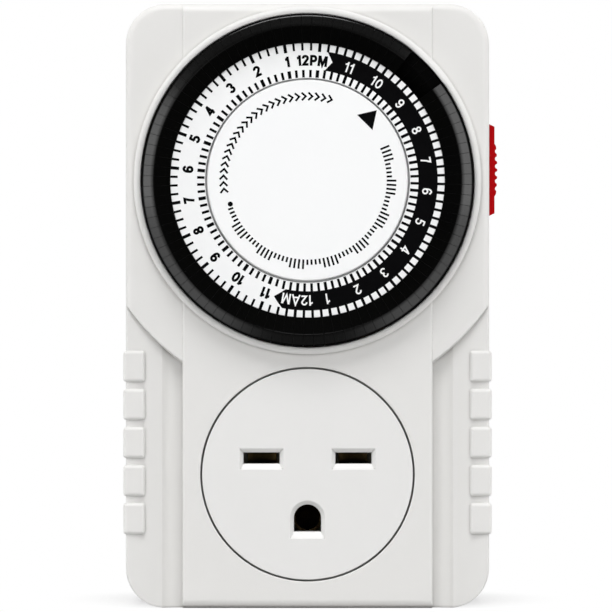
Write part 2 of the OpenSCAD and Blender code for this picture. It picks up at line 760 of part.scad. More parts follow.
// One segment: head, stem and the catch that keeps it in the dial
module segment(quarter) on_dial() rotate([0, -segment_angle(quarter), 0]) {
    half_gap = segment_gap / 2 / ring_r * 180 / PI;
    span_angle = pitch_angle - 2 * half_gap;
    rotate([0, span_angle / 2, 0]) turned(span_angle) head_profile();
    stem = head_foot + 0.5 - tip_up;          // the stem reaches into the head
    translate([stem_mid, -tip_up - stem / 2, 0]) cube([stem_l, stem, stem_w], center = true);
    translate([stem_mid + stem_l / 2 + lug_out / 2, -tip_up - lug_h / 2, 0])
        cube([lug_out, lug_h, stem_w], center = true);
}

// The four segments of one hour; those of the pushed hour stand lower
module segments(hour) color([0.06, 0.06, 0.06])
    translate([0, hour == pushed_hour ? travel : 0, 0])
        for (i = [0 : per_hour - 1]) segment(hour * per_hour + 3 + i);

module dial_gear() color("burlywood") on_dial()
    gear(dial_teeth, dial_module, dial_gear_turn, hub_r + 0.06, gear_back, gear_front);

module dial_post() color("silver") on_dial() {
    rod(post_r + 2, plate_front, plate_front + 1.2);
    rod(post_r + 1.2, plate_front + 1.2, hub_back - 0.6);
    rod(post_r, hub_back - 0.6, recess + 0.2);
    rod(post_r / 2, recess + 0.2, centre_face - 0.7);
    rod(post_r / 2, plate_back, plate_front);
}

module dial_washer() color("gray") on_dial() turned()
    span([post_r + clear, hub_back - 0.6], [post_r + 2.4, hub_back - clear]);

module centre_disc() color("white") on_dial() turned() polygon([[0, centre_face],
    [centre_r - 0.2, centre_face], [centre_r, centre_face - 0.2],
    [centre_r, centre_face - centre_t], [post_r - 0.2, centre_face - centre_t],
    [post_r - 0.2, recess + 0.2], [post_r / 2 + clear, recess + 0.2],
    [post_r / 2 + clear, centre_face - 0.6], [0, centre_face - 0.6]]);

// ---------------------------------------------------------------- movement

window_h = 10;                            // window in the plate for the lever's tail
ear_t = 1.2;                              // ears that carry the lever's pin
ear_gap = 0.8;

module movement_frame() color("lightsteelblue") {
    difference() {
        on_dial() forward(plate_back, plate_front) rounded(plate_w, plate_h, 3);
        at_bosses() rod(small_r + clear, plate_back - eps, plate_front + eps);
        on_dial() rod(post_r / 2 + 0.02, plate_back - eps, plate_front + eps);
        for (p = [clutch_at, first_at]) on_dial(p) rod(arbor_r + 0.02, plate_back - eps,
            plate_front + eps);
        on_dial(motor_pin_at) rod(1.6, plate_back - eps, plate_front + eps);
        at([lever_x, pivot_z - 1]) forward(plate_back - eps, plate_front + eps)
            square([lever_w + 1, window_h], center = true);
        // holes for the motor's lugs
        at_motor_lugs(lug_reach) rod(small_r + clear, plate_back - eps, plate_front + eps);
    }
    // ears that carry the lever's pin
    for (x = [-1, 1]) translate([lever_x + x * (lever_w + 2 * ear_gap + ear_t) / 2, 0, 0])
        difference() {
        across(ear_t) {
            span([plate_front, pivot_z - 1.6], [pivot_depth, pivot_z + 1.6]);
            translate([pivot_depth, pivot_z]) circle(1.6);
        }
        translate([0, -pivot_depth, pivot_z]) rotate([0, 90, 0])
            cylinder(r = pivot_r + 0.03, h = 2 * ear_t, center = true);
    }
}

module small_screw(head, tip) {
    rod(small_head_r, head - small_head_h, head);
    rod(small_r, head, tip);
}
module inner_screws() color("silver") {
    at_bosses() small_screw(plate_back, plate_front + bite);
    at_motor_lugs(lug_reach) small_screw(plate_back - lug_t, plate_front);
}

module motor_case() color("silver") difference() {
    union() {
        on_dial(motor_at) rod(motor_r, can_back, plate_back);
        at_motor_lugs(lug_reach) rod(lug_w / 2, plate_back - lug_t, plate_back);
        at_motor_lugs(0) forward(plate_back - lug_t, plate_back)
            square([lug_w, 2 * lug_reach], center = true);
    }
    on_dial(motor_at) rod(motor_r - can_t, can_back + can_t, plate_back - can_t);
    on_dial(motor_pin_at) rod(1.5, plate_back - 2 * can_t, plate_back + eps);
    on_dial(motor_at) rod(1 + clear, can_back - eps, can_back + 2 * can_t);
    at_motor_lugs(lug_reach) rod(small_r + clear, plate_back - 2 * lug_t, plate_back + eps);
}

coil_in = 9.4;
module motor_coil() color("peru") on_dial(motor_at) turned()
    span([coil_in, can_back + can_t], [motor_r - can_t - 0.3, can_back + can_t + winding_l]);

module motor_rotor() color("dimgray") on_dial(motor_at) {
    back = can_back + can_t + rotor_gap;
    rod(coil_in - 0.6, back, back + rotor_l);
    rod(1, can_back, plate_back - can_t - 1);
}

module motor_pinion() color("burlywood") on_dial(motor_pin_at) {
    gear(pinion_teeth, train_module, motor_turn, 0.6, low_wheel, low_wheel + wheel_t);
    rod(0.6, plate_back - can_t - 1.5, low_wheel + wheel_t);
}

module first_wheel() color("burlywood") on_dial(first_at) {
    gear(wheel_teeth, train_module, first_wheel_turn, arbor_r + 0.05, low_wheel,
        low_wheel + wheel_t);
    gear(pinion_teeth, train_module, first_pinion_turn, arbor_r + 0.05, low_wheel + wheel_t,
        high_wheel + wheel_t);
}

module clutch_wheel() color("burlywood") on_dial(clutch_at)
    gear(wheel_teeth, train_module, clutch_turn, arbor_r + 0.05, high_wheel,
        high_wheel + wheel_t);

module output_pinion() color("burlywood") on_dial(clutch_at)
    gear(pinion_teeth, dial_module, output_turn, arbor_r + 0.05, output_back,
        gear_front + 0.3);

// Fixed pins: the two arbors and the lever's pin
module arbor_pins() color("silver") {
    on_dial(clutch_at) rod(arbor_r, plate_back, gear_front + 0.8);
    on_dial(first_at) rod(arbor_r, plate_back, high_wheel + wheel_t + 0.3);
    translate([lever_x, -pivot_depth, pivot_z]) rotate([0, 90, 0])
        cylinder(r = pivot_r, h = lever_w + 2 * (ear_gap + ear_t), center = true);
}

// ---------------------------------------------------------------- switch

// Lever outline (depth, z): an arm up to the nose, a hub, and a tail through the plate
module lever_arm() {
    translate([pivot_depth, pivot_z]) circle(1.5);
    span([pivot_depth - 0.6, pivot_z], [pivot_depth + 0.5, nose_z + 0.6]);
    span([tail_end, pivot_z - 0.6], [pivot_depth, pivot_z + 0.6]);
    span([tail_end, leaf_z + clear], [tail_end + 1.2, pivot_z + 0.6]);
}
module follower_lever() color("ivory") translate([lever_x, 0, 0]) {
    difference() {
        across(lever_w) lever_arm();
        translate([0, -pivot_depth, pivot_z]) rotate([0, 90, 0])
            cylinder(r = pivot_r + 0.05, h = 2 * lever_w, center = true);
    }
    across(nose_w) {
        span([pivot_depth, nose_z - 0.6], [tip_down - clear - 0.6, nose_z + 0.6]);
        translate([tip_down - clear - 0.6, nose_z]) circle(0.6);
    }
}

// A hairpin spring beside the lever: its coil, drawn as a sleeve, and two legs
module follower_spring() color("dimgray") {
    wire_r = 0.2;
    coil_l = ear_gap - 0.25;
    side = lever_x - lever_w / 2 - clear - coil_l;
    leg = 8;                                  // the leg along the lever
    translate([side, -pivot_depth, pivot_z]) {
        rotate([0, 90, 0]) rotate_extrude() span([pivot_r + 0.05, 0], [pivot_r + 2 * wire_r, coil_l]);
        translate([coil_l - wire_r, pivot_r + wire_r, 0]) cylinder(r = wire_r, h = leg);
        translate([wire_r, pivot_r + wire_r, -leg * 0.75]) cylinder(r = wire_r, h = leg * 0.75);
    }
}

base_drop = 8;                            // the switch base under the contacts
base_post = 3;                            // and beyond the leaf's tip
base_low = leaf_z - base_drop;
base_right = leaf_root + 0.4;
clamp_x = leaf_root - bar_w;              // inner side of the clamp at the leaf's end
module switch_base() color("saddlebrown") difference() {
    left = leaf_tip - base_post;
    union() {
        // a wall behind the contacts, a post at its left and the clamp at its right
        forward(leaf_back - 2.6, leaf_back - clear) span([left, base_low], [base_right, leaf_z + 3]);
        forward(leaf_back - 1, plate_back) {
            span([left, base_low], [left + 1.2, leaf_z + 3]);
            span([clamp_x, leaf_z + 0.3], [base_right, leaf_z + 3]);
            span([clamp_x, base_low], [base_right, leaf_z - leaf_t - brass_t - clear]);
        }
    }
    // slot for the feed bar's end
    forward(leaf_back - 3, leaf_back) span([clamp_x - clear, leaf_z - leaf_t - brass_t - clear],
        [base_right + eps, leaf_z - leaf_t + clear]);
}

module contact_leaf() color("darkgoldenrod") {
    forward(leaf_back, leaf_back + leaf_w) span([leaf_tip - 1, leaf_z - leaf_t],
        [leaf_root, leaf_z]);
    translate([leaf_tip + 0.8, -leaf_back - leaf_w / 2, leaf_z - leaf_t - button_t / 2])
        cylinder(r = button_r, h = button_t, center = true);
}

fixed_top = leaf_z - leaf_t - button_t - contact_gap;
module fixed_contact() color("goldenrod") {
    translate([leaf_tip + 0.8, -leaf_back - leaf_w / 2, fixed_top - button_t / 2])
        cylinder(r = button_r, h = button_t, center = true);
    forward(leaf_back, leaf_back + leaf_w) {
        span([leaf_tip - button_r, fixed_top - button_t - brass_t],
            [leaf_tip + fixed_reach, fixed_top - button_t]);
        span([leaf_tip + fixed_reach, base_low - fixed_foot],
            [leaf_tip + fixed_reach + brass_t, fixed_top - button_t]);
    }
}

// Knob outline (x, z): sloped ends, two flats and a crowned middle
knob_foot = case_w / 2 + 0.15;
flat_share = 0.72;                        // the flats' share of the knob's height
knob_flat = case_w / 2 + knob_proud * flat_share;
knob_end = 0.6;                           // length of a sloped end
crown_half = rib_count * rib_pitch / 2;
crown_ends = 0.5;                         // drop of the crown at its ends, as a share
module knob_outline() {
    half = knob_length / 2;
    rise = knob_proud * (1 - flat_share);
    polygon(concat([[knob_foot, -half], [knob_flat, knob_end - half], [knob_flat, -crown_half]],
        [for (i = [0 : 8]) let (t = i / 4 - 1)
            [knob_flat + rise * (1 - crown_ends * t * t), t * (crown_half - 0.2)]],
        [[knob_flat, crown_half], [knob_flat, half - knob_end], [knob_foot, half]]));
}

// The knob is sunk between its ribs by round grooves, and its stem passes the wall
module override_knob() color("firebrick") translate([0, 0, knob_z]) {
    groove_r = rib_pitch * 0.36;
    stem = wall + 0.45 + root;                // it reaches into the knob
    difference() {
        forward(knob_mid - knob_w / 2, knob_mid + knob_w / 2) knob_outline();
        for (i = [0 : rib_count]) at([case_w / 2 + knob_proud + 0.08, i * rib_pitch - crown_half])
            rod(groove_r, knob_mid - knob_w, knob_mid + knob_w);
    }
    translate([knob_foot + root - stem / 2, -knob_mid, 0])
        cube([stem, knob_stem_w, knob_stem_h], center = true);
}

module override_slide() color("firebrick") translate([0, 0, knob_z]) {
    inner = inner_w / 2 - 0.3;
    forward(knob_mid - slide_w / 2, knob_mid + slide_w / 2)
        span([inner - slide_t, -slide_h / 2], [inner, slide_h / 2]);
}

// ---------------------------------------------------------------- wiring

// The motor's two leads, from the back of its can to the feed bar and the right contact
lead_r = 0.5;
module lead(points) for (i = [0 : len(points) - 2]) {
    a = points[i];
    b = points[i + 1];
    run = b - a;
    // every run goes straight along one axis
    turn = run[0] != 0 ? [0, 90, 0] : run[1] != 0 ? [90, 0, 0] : [0, 0, 0];
    translate((a + b) / 2) rotate(turn) cylinder(r = lead_r, h = norm(run), center = true);
    if (i > 0) translate(a) sphere(lead_r * 1.1);   // the bend
}
module motor_leads() color("black") {
    top = dial_height - motor_r * 0.78;
    front = can_back - lead_room / 2 + 0.2;
    lead([[-2, -can_back, top], [-2, -front, top], [-2, -front, feed_z - bar_w / 2],
        [-2, -feed_back - brass_t, feed_z - bar_w / 2]]);
    low = feed_z / 2 + 1;
    lead([[-5, -can_back, top], [-5, -front, top], [-5, -front, low], [blade_x, -front, low],
        [blade_x, -front, brass_t / 2]]);
}

// Brass strip from the left blade to the contact leaf
feed_z = 22;
feed_x = leaf_root - bar_w / 2;
module feed_bar() color("goldenrod") {
    forward(feed_back, feed_back + brass_t) {
        span([-blade_x - bar_w / 2, -bar_w / 2], [-blade_x + bar_w / 2, feed_z]);
        span([-blade_x - bar_w / 2, feed_z - bar_w], [feed_x + bar_w / 2, feed_z]);
        span([feed_x - bar_w / 2, feed_z - bar_w],
            [feed_x + bar_w / 2, leaf_z - leaf_t]);
    }
    forward(feed_back, leaf_back + leaf_w) span([feed_x - bar_w / 2, leaf_z - leaf_t - brass_t],
        [feed_x + bar_w / 2, leaf_z - leaf_t]);
}

// Brass strip from the fixed contact to the left outlet contact
module output_bar() color("goldenrod") {
    right = leaf_tip + fixed_reach;
    cross = feed_z + 1.5 * bar_w;             // its crossing runs above the feed bar's
    foot = base_low - fixed_foot;
    forward(output_bar_back, output_bar_back + brass_t) {
        span([right - bar_w, cross - bar_w], [right, foot]);
        span([-blade_x - bar_w / 2, cross - bar_w], [right, cross]);
        span([-blade_x - bar_w / 2, -bar_w / 2], [-blade_x + bar_w / 2, cross]);
    }
    forward(output_bar_back, leaf_back + leaf_w) span([right - bar_w, foot - brass_t],
        [right + brass_t, foot]);
}

front_case();
rear_case();
outlet_face();
case_screws();
time_dial();
dial_gear();
dial_post();
dial_washer();
centre_disc();
movement_frame();
inner_screws();
motor_case();
motor_coil();
motor_rotor();
motor_pinion();
first_wheel();
clutch_wheel();
output_pinion();
arbor_pins();
follower_lever();
follower_spring();
motor_leads();
switch_base();
contact_leaf();
fixed_contact();
override_knob();
override_slide();
left_blade();
right_blade();
ground_pin();
left_contact();
right_contact();
ground_contact();
contact_tray();
feed_bar();
output_bar();
for (hour = [0 : hours - 1])
    segments(hour);
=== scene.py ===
import json
import math

import bmesh
import bpy
import numpy as np
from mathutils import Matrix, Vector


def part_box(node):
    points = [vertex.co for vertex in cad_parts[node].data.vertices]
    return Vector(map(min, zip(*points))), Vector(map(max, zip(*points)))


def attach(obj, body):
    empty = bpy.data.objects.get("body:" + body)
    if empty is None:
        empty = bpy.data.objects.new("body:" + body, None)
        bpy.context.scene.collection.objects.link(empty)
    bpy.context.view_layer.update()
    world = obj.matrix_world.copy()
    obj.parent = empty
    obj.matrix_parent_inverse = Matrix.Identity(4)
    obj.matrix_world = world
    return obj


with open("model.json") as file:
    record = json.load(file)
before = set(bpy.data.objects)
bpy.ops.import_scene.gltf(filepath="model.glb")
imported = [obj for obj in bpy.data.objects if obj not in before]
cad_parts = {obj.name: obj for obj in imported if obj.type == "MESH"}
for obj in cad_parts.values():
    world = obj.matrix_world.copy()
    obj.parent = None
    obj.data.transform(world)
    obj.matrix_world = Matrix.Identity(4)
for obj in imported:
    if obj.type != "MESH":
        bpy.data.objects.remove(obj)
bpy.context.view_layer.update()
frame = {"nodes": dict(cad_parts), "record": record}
mm = 0.001
print("frame loaded:", len(frame["nodes"]), "nodes")

# Places that the frame gives: the dial's centre, how far each face stands in front of the wall, and the foot
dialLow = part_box("time_dial")[0]
discLow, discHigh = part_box("centre_disc")
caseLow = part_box("front_case")[0]
dialCentre = np.array([0.0, (discLow.z + discHigh.z) / 2])
ringFace = -dialLow.y
discFace = -discLow.y
lipTop = -caseLow.y
foot = caseLow.z


# Each point (right, up) of the front view, at a height in front of the wall:
# (x, y, z) = (right, -height, up)
def standing(points, height):
    points = np.asarray(points, float)
    depth = np.broadcast_to(-np.asarray(height, float), points.shape[:-1])
    return np.stack([points[..., 0], depth, points[..., 1]], -1)


# The direction (cos angle, sin angle), angles in degrees, anticlockwise from the right
def heading(angle):
    angle = np.radians(angle)
    return np.stack([np.cos(angle), np.sin(angle)], -1)


# A direction turned a quarter turn anticlockwise: (-up, right)
def leftOf(direction):
    return np.stack([-direction[..., 1], direction[..., 0]], -1)


# A place on the dial: centre + radius * heading
def onDial(radius, angle):
    return dialCentre + np.asarray(radius)[..., None] * heading(angle)


# Joins (points, faces) pairs into one mesh object that rides on a body, with its faces turned outwards
def makePiece(name, parts, material, body):
    starts = np.cumsum([0] + [len(points) for points, _ in parts])
    points = np.concatenate([points for points, _ in parts])
    faces = [face for (_, quads), start in zip(parts, starts) for face in (quads + start).tolist()]
    mesh = bpy.data.meshes.new(name)
    mesh.from_pydata(points.tolist(), [], faces)
    work = bmesh.new()
    work.from_mesh(mesh)
    bmesh.ops.recalc_face_normals(work, faces=work.faces)
    work.to_mesh(mesh)
    work.free()
    mesh.materials.append(material)
    piece = bpy.data.objects.new(name, mesh)
    bpy.context.scene.collection.objects.link(piece)
    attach(piece, body)


# Quads of a grid of rows by columns, each joined to the next, the columns closed into a ring
def gridQuads(rows, columns, closedRows=False):
    row = np.arange(rows if closedRows else rows - 1)[:, None]
    column = np.arange(columns)[None, :]
    nextRow = (row + 1) % rows
    nextColumn = (column + 1) % columns
    corners = [row * columns + column, row * columns + nextColumn,
               nextRow * columns + nextColumn, nextRow * columns + column]
    return np.stack(corners, -1).reshape(-1, 4)


# A bar's corners at each step of its two sides: left and right high up, then right and left low down
def barCorners(left, right, low, high):
    return np.stack([standing(left, high), standing(right, high),
                     standing(right, low), standing(left, low)], 1)


# Quads round a bar of four corners a step, capped at both ends unless it is closed
def barQuads(steps, closed=False):
    quads = gridQuads(steps, 4, closed)
    if closed:
        return quads
    last = 4 * (steps - 1)
    return np.concatenate([quads, [[3, 2, 1, 0], [last, last + 1, last + 2, last + 3]]])


# Ink is a film that reaches a little under its face. All lengths are in millimetres
inkSet = {
    "sunk": 0.01,        # how far ink reaches under the face
    "film": 0.02,        # how far it stands on it
    "lap": 0.004,        # a second stroke stands this much higher where it crosses the first
    "sharpest": 0.35,    # least cosine of half a mitred turn
}


# A flat ribbon: a rectangle carried along a path. Its corners are path +- mitre * width / 2 at both
# heights, where mitre is the mean normal of the two neighbouring runs over the cosine of half their turn
def ribbon(path, width, low, high, closed=False):
    path = np.asarray(path, float)
    ahead = np.roll(path, -1, 0) - path
    if not closed:
        ahead[-1] = ahead[-2]
    ahead /= np.linalg.norm(ahead, axis=1, keepdims=True)
    behind = np.roll(ahead, 1, 0)
    if not closed:
        behind[0] = ahead[0]
    mean = ahead + behind
    mean /= np.linalg.norm(mean, axis=1, keepdims=True)
    turn = np.maximum((mean * ahead).sum(1, keepdims=True), inkSet["sharpest"])
    side = leftOf(mean) / turn * width / 2
    return barCorners(path + side, path - side, low, high).reshape(-1, 3), barQuads(len(path), closed)


# Bars along the dial's radii: for each angle, corners at inner and outer radius, +- width / 2 across
def radialBars(angles, inner, outer, width, low, high):
    angles, inner, outer, width = np.broadcast_arrays(angles, inner, outer, width)
    across = leftOf(heading(angles)) * width[:, None] / 2
    ends = [barCorners(place + across, place - across, low, high)
            for place in (onDial(inner, angles), onDial(outer, angles))]
    points = np.concatenate(ends, 1).reshape(-1, 3)
    box = barQuads(2)
    quads = (np.arange(len(angles))[:, None, None] * (box.max() + 1) + box).reshape(-1, 4)
    return points, quads


# Points of an arc of an ellipse: centre + (wide * cos t, tall * sin t), t running in equal steps
def bow(x, y, wide, tall, start, end, steps):
    t = np.radians(np.linspace(start, end, steps))
    return np.stack([x + wide * np.cos(t), y + tall * np.sin(t)], 1)


# A thin plate: a grid of points (rows by columns) at two heights, closed all round
def plate(flat, low, high):
    across = np.concatenate([standing(flat, high), standing(flat[:, ::-1], low)], 1)
    rows, columns = across.shape[:2]
    half = columns // 2
    k = np.arange(half - 1)
    cap = np.stack([k, k + 1, columns - 2 - k, columns - 1 - k], 1)
    last = (rows - 1) * columns
    quads = np.concatenate([gridQuads(rows, columns), cap[:, ::-1], cap + last])
    return across.reshape(-1, 3), quads


def linked(tree, source, target):
    tree.links.new(source, target)


# Sets a socket to a number or a colour, or links it to another socket
def feed(tree, socket, value):
    if isinstance(value, bpy.types.NodeSocket):
        linked(tree, value, socket)
    else:
        socket.default_value = (*value, 1) if isinstance(value, tuple) else value


def addNode(tree, kind, **values):
    node = tree.nodes.new(kind)
    for key, value in values.items():
        if hasattr(node, key):
            setattr(node, key, value)
        else:
            node.inputs[key.replace("_", " ")].default_value = value
    return node


def combine(tree, operation, *values):
    node = addNode(tree, "ShaderNodeMath", operation=operation)
    for socket, value in zip(node.inputs, values):
        feed(tree, socket, value)
    return node.outputs[0]


def times(tree, first, second):
    return combine(tree, "MULTIPLY", first, second)


def larger(tree, first, second):
    return combine(tree, "MAXIMUM", first, second)


# Runs from low to high as the source runs from start to end, which may be the lower one, and is level beyond
def fade(tree, source, start, end, low=0.0, high=1.0, kind="LINEAR"):
    span = addNode(tree, "ShaderNodeMapRange", interpolation_type=kind)
    linked(tree, source, span.inputs["Value"])
    for label, value in {"From Min": start, "From Max": end, "To Min": low, "To Max": high}.items():
        span.inputs[label].default_value = value
    return span.outputs["Result"]


def mixColours(tree, mask, first, second):
    mix = addNode(tree, "ShaderNodeMix", data_type="RGBA")
    for place, value in ((0, mask), (6, first), (7, second)):
        feed(tree, mix.inputs[place], value)
    return mix.outputs[2]


def mixShaders(tree, share, first, second):
    mix = addNode(tree, "ShaderNodeMixShader")
    for socket, source in zip(mix.inputs, (share, first, second)):
        linked(tree, source, socket)
    return mix.outputs[0]


def newGroup(name, inputs, outputs):
    group = bpy.data.node_groups.new(name, "ShaderNodeTree")
    for label, value in inputs.items():
        socket = group.interface.new_socket(label, in_out="INPUT", socket_type="NodeSocketFloat")
        socket.default_value = value
    for label, kind in outputs.items():
        group.interface.new_socket(label, in_out="OUTPUT", socket_type=kind)
    return group, group.nodes.new("NodeGroupInput"), group.nodes.new("NodeGroupOutput")


# A group placed in a tree, with the values of its sockets
def placeGroup(tree, group, **values):
    node = tree.nodes.new("ShaderNodeGroup")
    node.node_tree = group
    for label, value in values.items():
        node.inputs[label].default_value = value
    return node


surfaceSet = {
    "grainNoise": dict(Detail=3.0, Roughness=0.6),
    "cloudNoise": dict(Detail=4.0, Roughness=0.55),
    "pitShare": 0.5,             # of the pits in the grain's height
    "edgeSamples": 6,
    "edgeNoise": dict(Scale=900.0, Detail=3.0),
    "edgeMask": (0.998, 0.85, 0.0, 1.5),    # likeness of both normals at its ends, and its two values
    "cornerSamples": 8,
    "cornerMask": (0.92, 0.25),  # open share of the view where dust and painted shade begin, and where they are full
    "lineNoise": dict(Scale=1.0, Detail=2.0),
    "noiseSpan": (0.3, 0.7),     # values between which a noise mostly lies
}


# Spark-eroded mould texture: fine grains for the bump, and slow clouds for gloss and tint
def makeMouldedSkin():
    group, given, out = newGroup("mouldedSkin", {"Grain": 7000.0, "Cloud": 45.0},
                                 {"Height": "NodeSocketFloat", "Cloud": "NodeSocketFloat"})
    place = addNode(group, "ShaderNodeTexCoord")
    grain = addNode(group, "ShaderNodeTexNoise", **surfaceSet["grainNoise"])
    pits = addNode(group, "ShaderNodeTexVoronoi", feature="SMOOTH_F1")
    clouds = addNode(group, "ShaderNodeTexNoise", **surfaceSet["cloudNoise"])
    for texture, scale in ((grain, "Grain"), (pits, "Grain"), (clouds, "Cloud")):
        linked(group, place.outputs["Object"], texture.inputs["Vector"])
        linked(group, given.outputs[scale], texture.inputs["Scale"])
    height = combine(group, "MULTIPLY_ADD", pits.outputs["Distance"], surfaceSet["pitShare"],
                     grain.outputs["Fac"])
    linked(group, height, out.inputs["Height"])
    linked(group, clouds.outputs["Fac"], out.inputs["Cloud"])
    return group


# Rounded arrises: a normal that turns over each edge, and a mask that is 1 along the edge, where the colour
# is lightened for wear and as a painted highlight
def makeSoftEdge():
    group, given, out = newGroup("softEdge", {"Radius": 0.0002},
                                 {"Normal": "NodeSocketVector", "WearAndHighlight": "NodeSocketFloat"})
    bevel = addNode(group, "ShaderNodeBevel", samples=surfaceSet["edgeSamples"])
    surface = addNode(group, "ShaderNodeNewGeometry")
    likeness = addNode(group, "ShaderNodeVectorMath", operation="DOT_PRODUCT")
    place = addNode(group, "ShaderNodeTexCoord")
    broken = addNode(group, "ShaderNodeTexNoise", **surfaceSet["edgeNoise"])
    linked(group, given.outputs["Radius"], bevel.inputs["Radius"])
    linked(group, bevel.outputs["Normal"], likeness.inputs[0])
    linked(group, surface.outputs["Normal"], likeness.inputs[1])
    linked(group, place.outputs["Object"], broken.inputs["Vector"])
    mask = fade(group, likeness.outputs["Value"], *surfaceSet["edgeMask"])
    wearAndHighlight = times(group, mask, broken.outputs["Fac"])
    wearAndHighlight.node.use_clamp = True
    linked(group, bevel.outputs["Normal"], out.inputs["Normal"])
    linked(group, wearAndHighlight, out.inputs["WearAndHighlight"])
    return group


# Dust and shade in corners and gaps: 1 where the surface sees little around it, 0 on open faces
def makeCornerDust():
    group, given, out = newGroup("cornerDustAndShade", {"Distance": 0.001}, {"DustAndShade": "NodeSocketFloat"})
    openness = addNode(group, "ShaderNodeAmbientOcclusion", samples=surfaceSet["cornerSamples"])
    linked(group, given.outputs["Distance"], openness.inputs["Distance"])
    linked(group, fade(group, openness.outputs["AO"], *surfaceSet["cornerMask"]), out.inputs["DustAndShade"])
    return group


# Distance from the dial's axis, sqrt(x^2 + (z - dial height)^2), and height in front of the wall, -y
def makeDialReach():
    group, given, out = newGroup("dialReach", {}, {"Radius": "NodeSocketFloat", "Height": "NodeSocketFloat"})
    place = addNode(group, "ShaderNodeTexCoord")
    split = addNode(group, "ShaderNodeSeparateXYZ")
    flat = addNode(group, "ShaderNodeCombineXYZ")
    reach = addNode(group, "ShaderNodeVectorMath", operation="LENGTH")
    linked(group, place.outputs["Object"], split.inputs[0])
    linked(group, split.outputs["X"], flat.inputs["X"])
    linked(group, combine(group, "SUBTRACT", split.outputs["Z"], dialCentre[1]), flat.inputs["Y"])
    linked(group, flat.outputs[0], reach.inputs[0])
    linked(group, reach.outputs["Value"], out.inputs["Radius"])
    linked(group, times(group, split.outputs["Y"], -1.0), out.inputs["Height"])
    return group


# Fine lines left by a brush or a roll, drawn out along one axis
def makeBrushedLines():
    group, given, out = newGroup("brushedLines", {"Fine": 9000.0, "Long": 250.0},
                                 {"Height": "NodeSocketFloat"})
    place = addNode(group, "ShaderNodeTexCoord")
    split = addNode(group, "ShaderNodeSeparateXYZ")
    scaled = addNode(group, "ShaderNodeCombineXYZ")
    linked(group, place.outputs["Object"], split.inputs[0])
    for axis, scale in (("X", "Fine"), ("Y", "Long"), ("Z", "Fine")):
        linked(group, times(group, split.outputs[axis], given.outputs[scale]), scaled.inputs[axis])
    lines = addNode(group, "ShaderNodeTexNoise", **surfaceSet["lineNoise"])
    linked(group, scaled.outputs[0], lines.inputs["Vector"])
    linked(group, lines.outputs["Fac"], out.inputs["Height"])
    return group


mouldedSkin = makeMouldedSkin()
softEdge = makeSoftEdge()
cornerDustAndShade = makeCornerDust()
dialReach = makeDialReach()
brushedLines = makeBrushedLines()


def newMaterial(name):
    material = bpy.data.materials.new(name)
    material.use_nodes = True
    return material


def opened(material):
    return material.node_tree, material.node_tree.nodes["Principled BSDF"]


# The full swing of a noise becomes low to high
def spread(tree, noise, low, high):
    return fade(tree, noise, *surfaceSet["noiseSpan"], low, high)


# Clouds shift a surface's tint, its edges are worn and lightened as a painted highlight, and its corners are
# dusty and darkened as painted shade
def addTint(tree, shader, look):
    skin = placeGroup(tree, mouldedSkin, Grain=look["grain"], Cloud=look["cloud"])
    edge = placeGroup(tree, softEdge, Radius=look["edge"])
    dustAndShade = placeGroup(tree, cornerDustAndShade, Distance=look["reach"])
    tint = mixColours(tree, skin.outputs["Cloud"], look["colour"], look["shade"])
    bareAndHighlit = mixColours(tree, edge.outputs["WearAndHighlight"], tint, look["wornAndHighlight"])
    linked(tree, mixColours(tree, dustAndShade.outputs["DustAndShade"], bareAndHighlit, look["dustAndShade"]), shader.inputs["Base Color"])
    return skin, edge


def addBump(tree, shader, height, edge, look):
    bump = addNode(tree, "ShaderNodeBump", Strength=look["bump"], Distance=look["bumpDepth"])
    linked(tree, height, bump.inputs["Height"])
    linked(tree, edge.outputs["Normal"], bump.inputs["Normal"])
    linked(tree, bump.outputs["Normal"], shader.inputs["Normal"])


# Moulded plastic: clouds shift its tint and gloss too, grain roughens it, and its edges are soft
def makePlastic(name, look):
    material = newMaterial(name)
    tree, shader = opened(material)
    skin, edge = addTint(tree, shader, look)
    polish = addNode(tree, "ShaderNodeMix", data_type="FLOAT")
    linked(tree, edge.outputs["WearAndHighlight"], polish.inputs[0])
    linked(tree, spread(tree, skin.outputs["Cloud"], *look["gloss"]), polish.inputs[2])
    polish.inputs[3].default_value = look["edgeGloss"]
    linked(tree, polish.outputs[0], shader.inputs["Roughness"])
    addBump(tree, shader, skin.outputs["Height"], edge, look)
    shader.inputs["Specular IOR Level"].default_value = look["shine"]
    return material


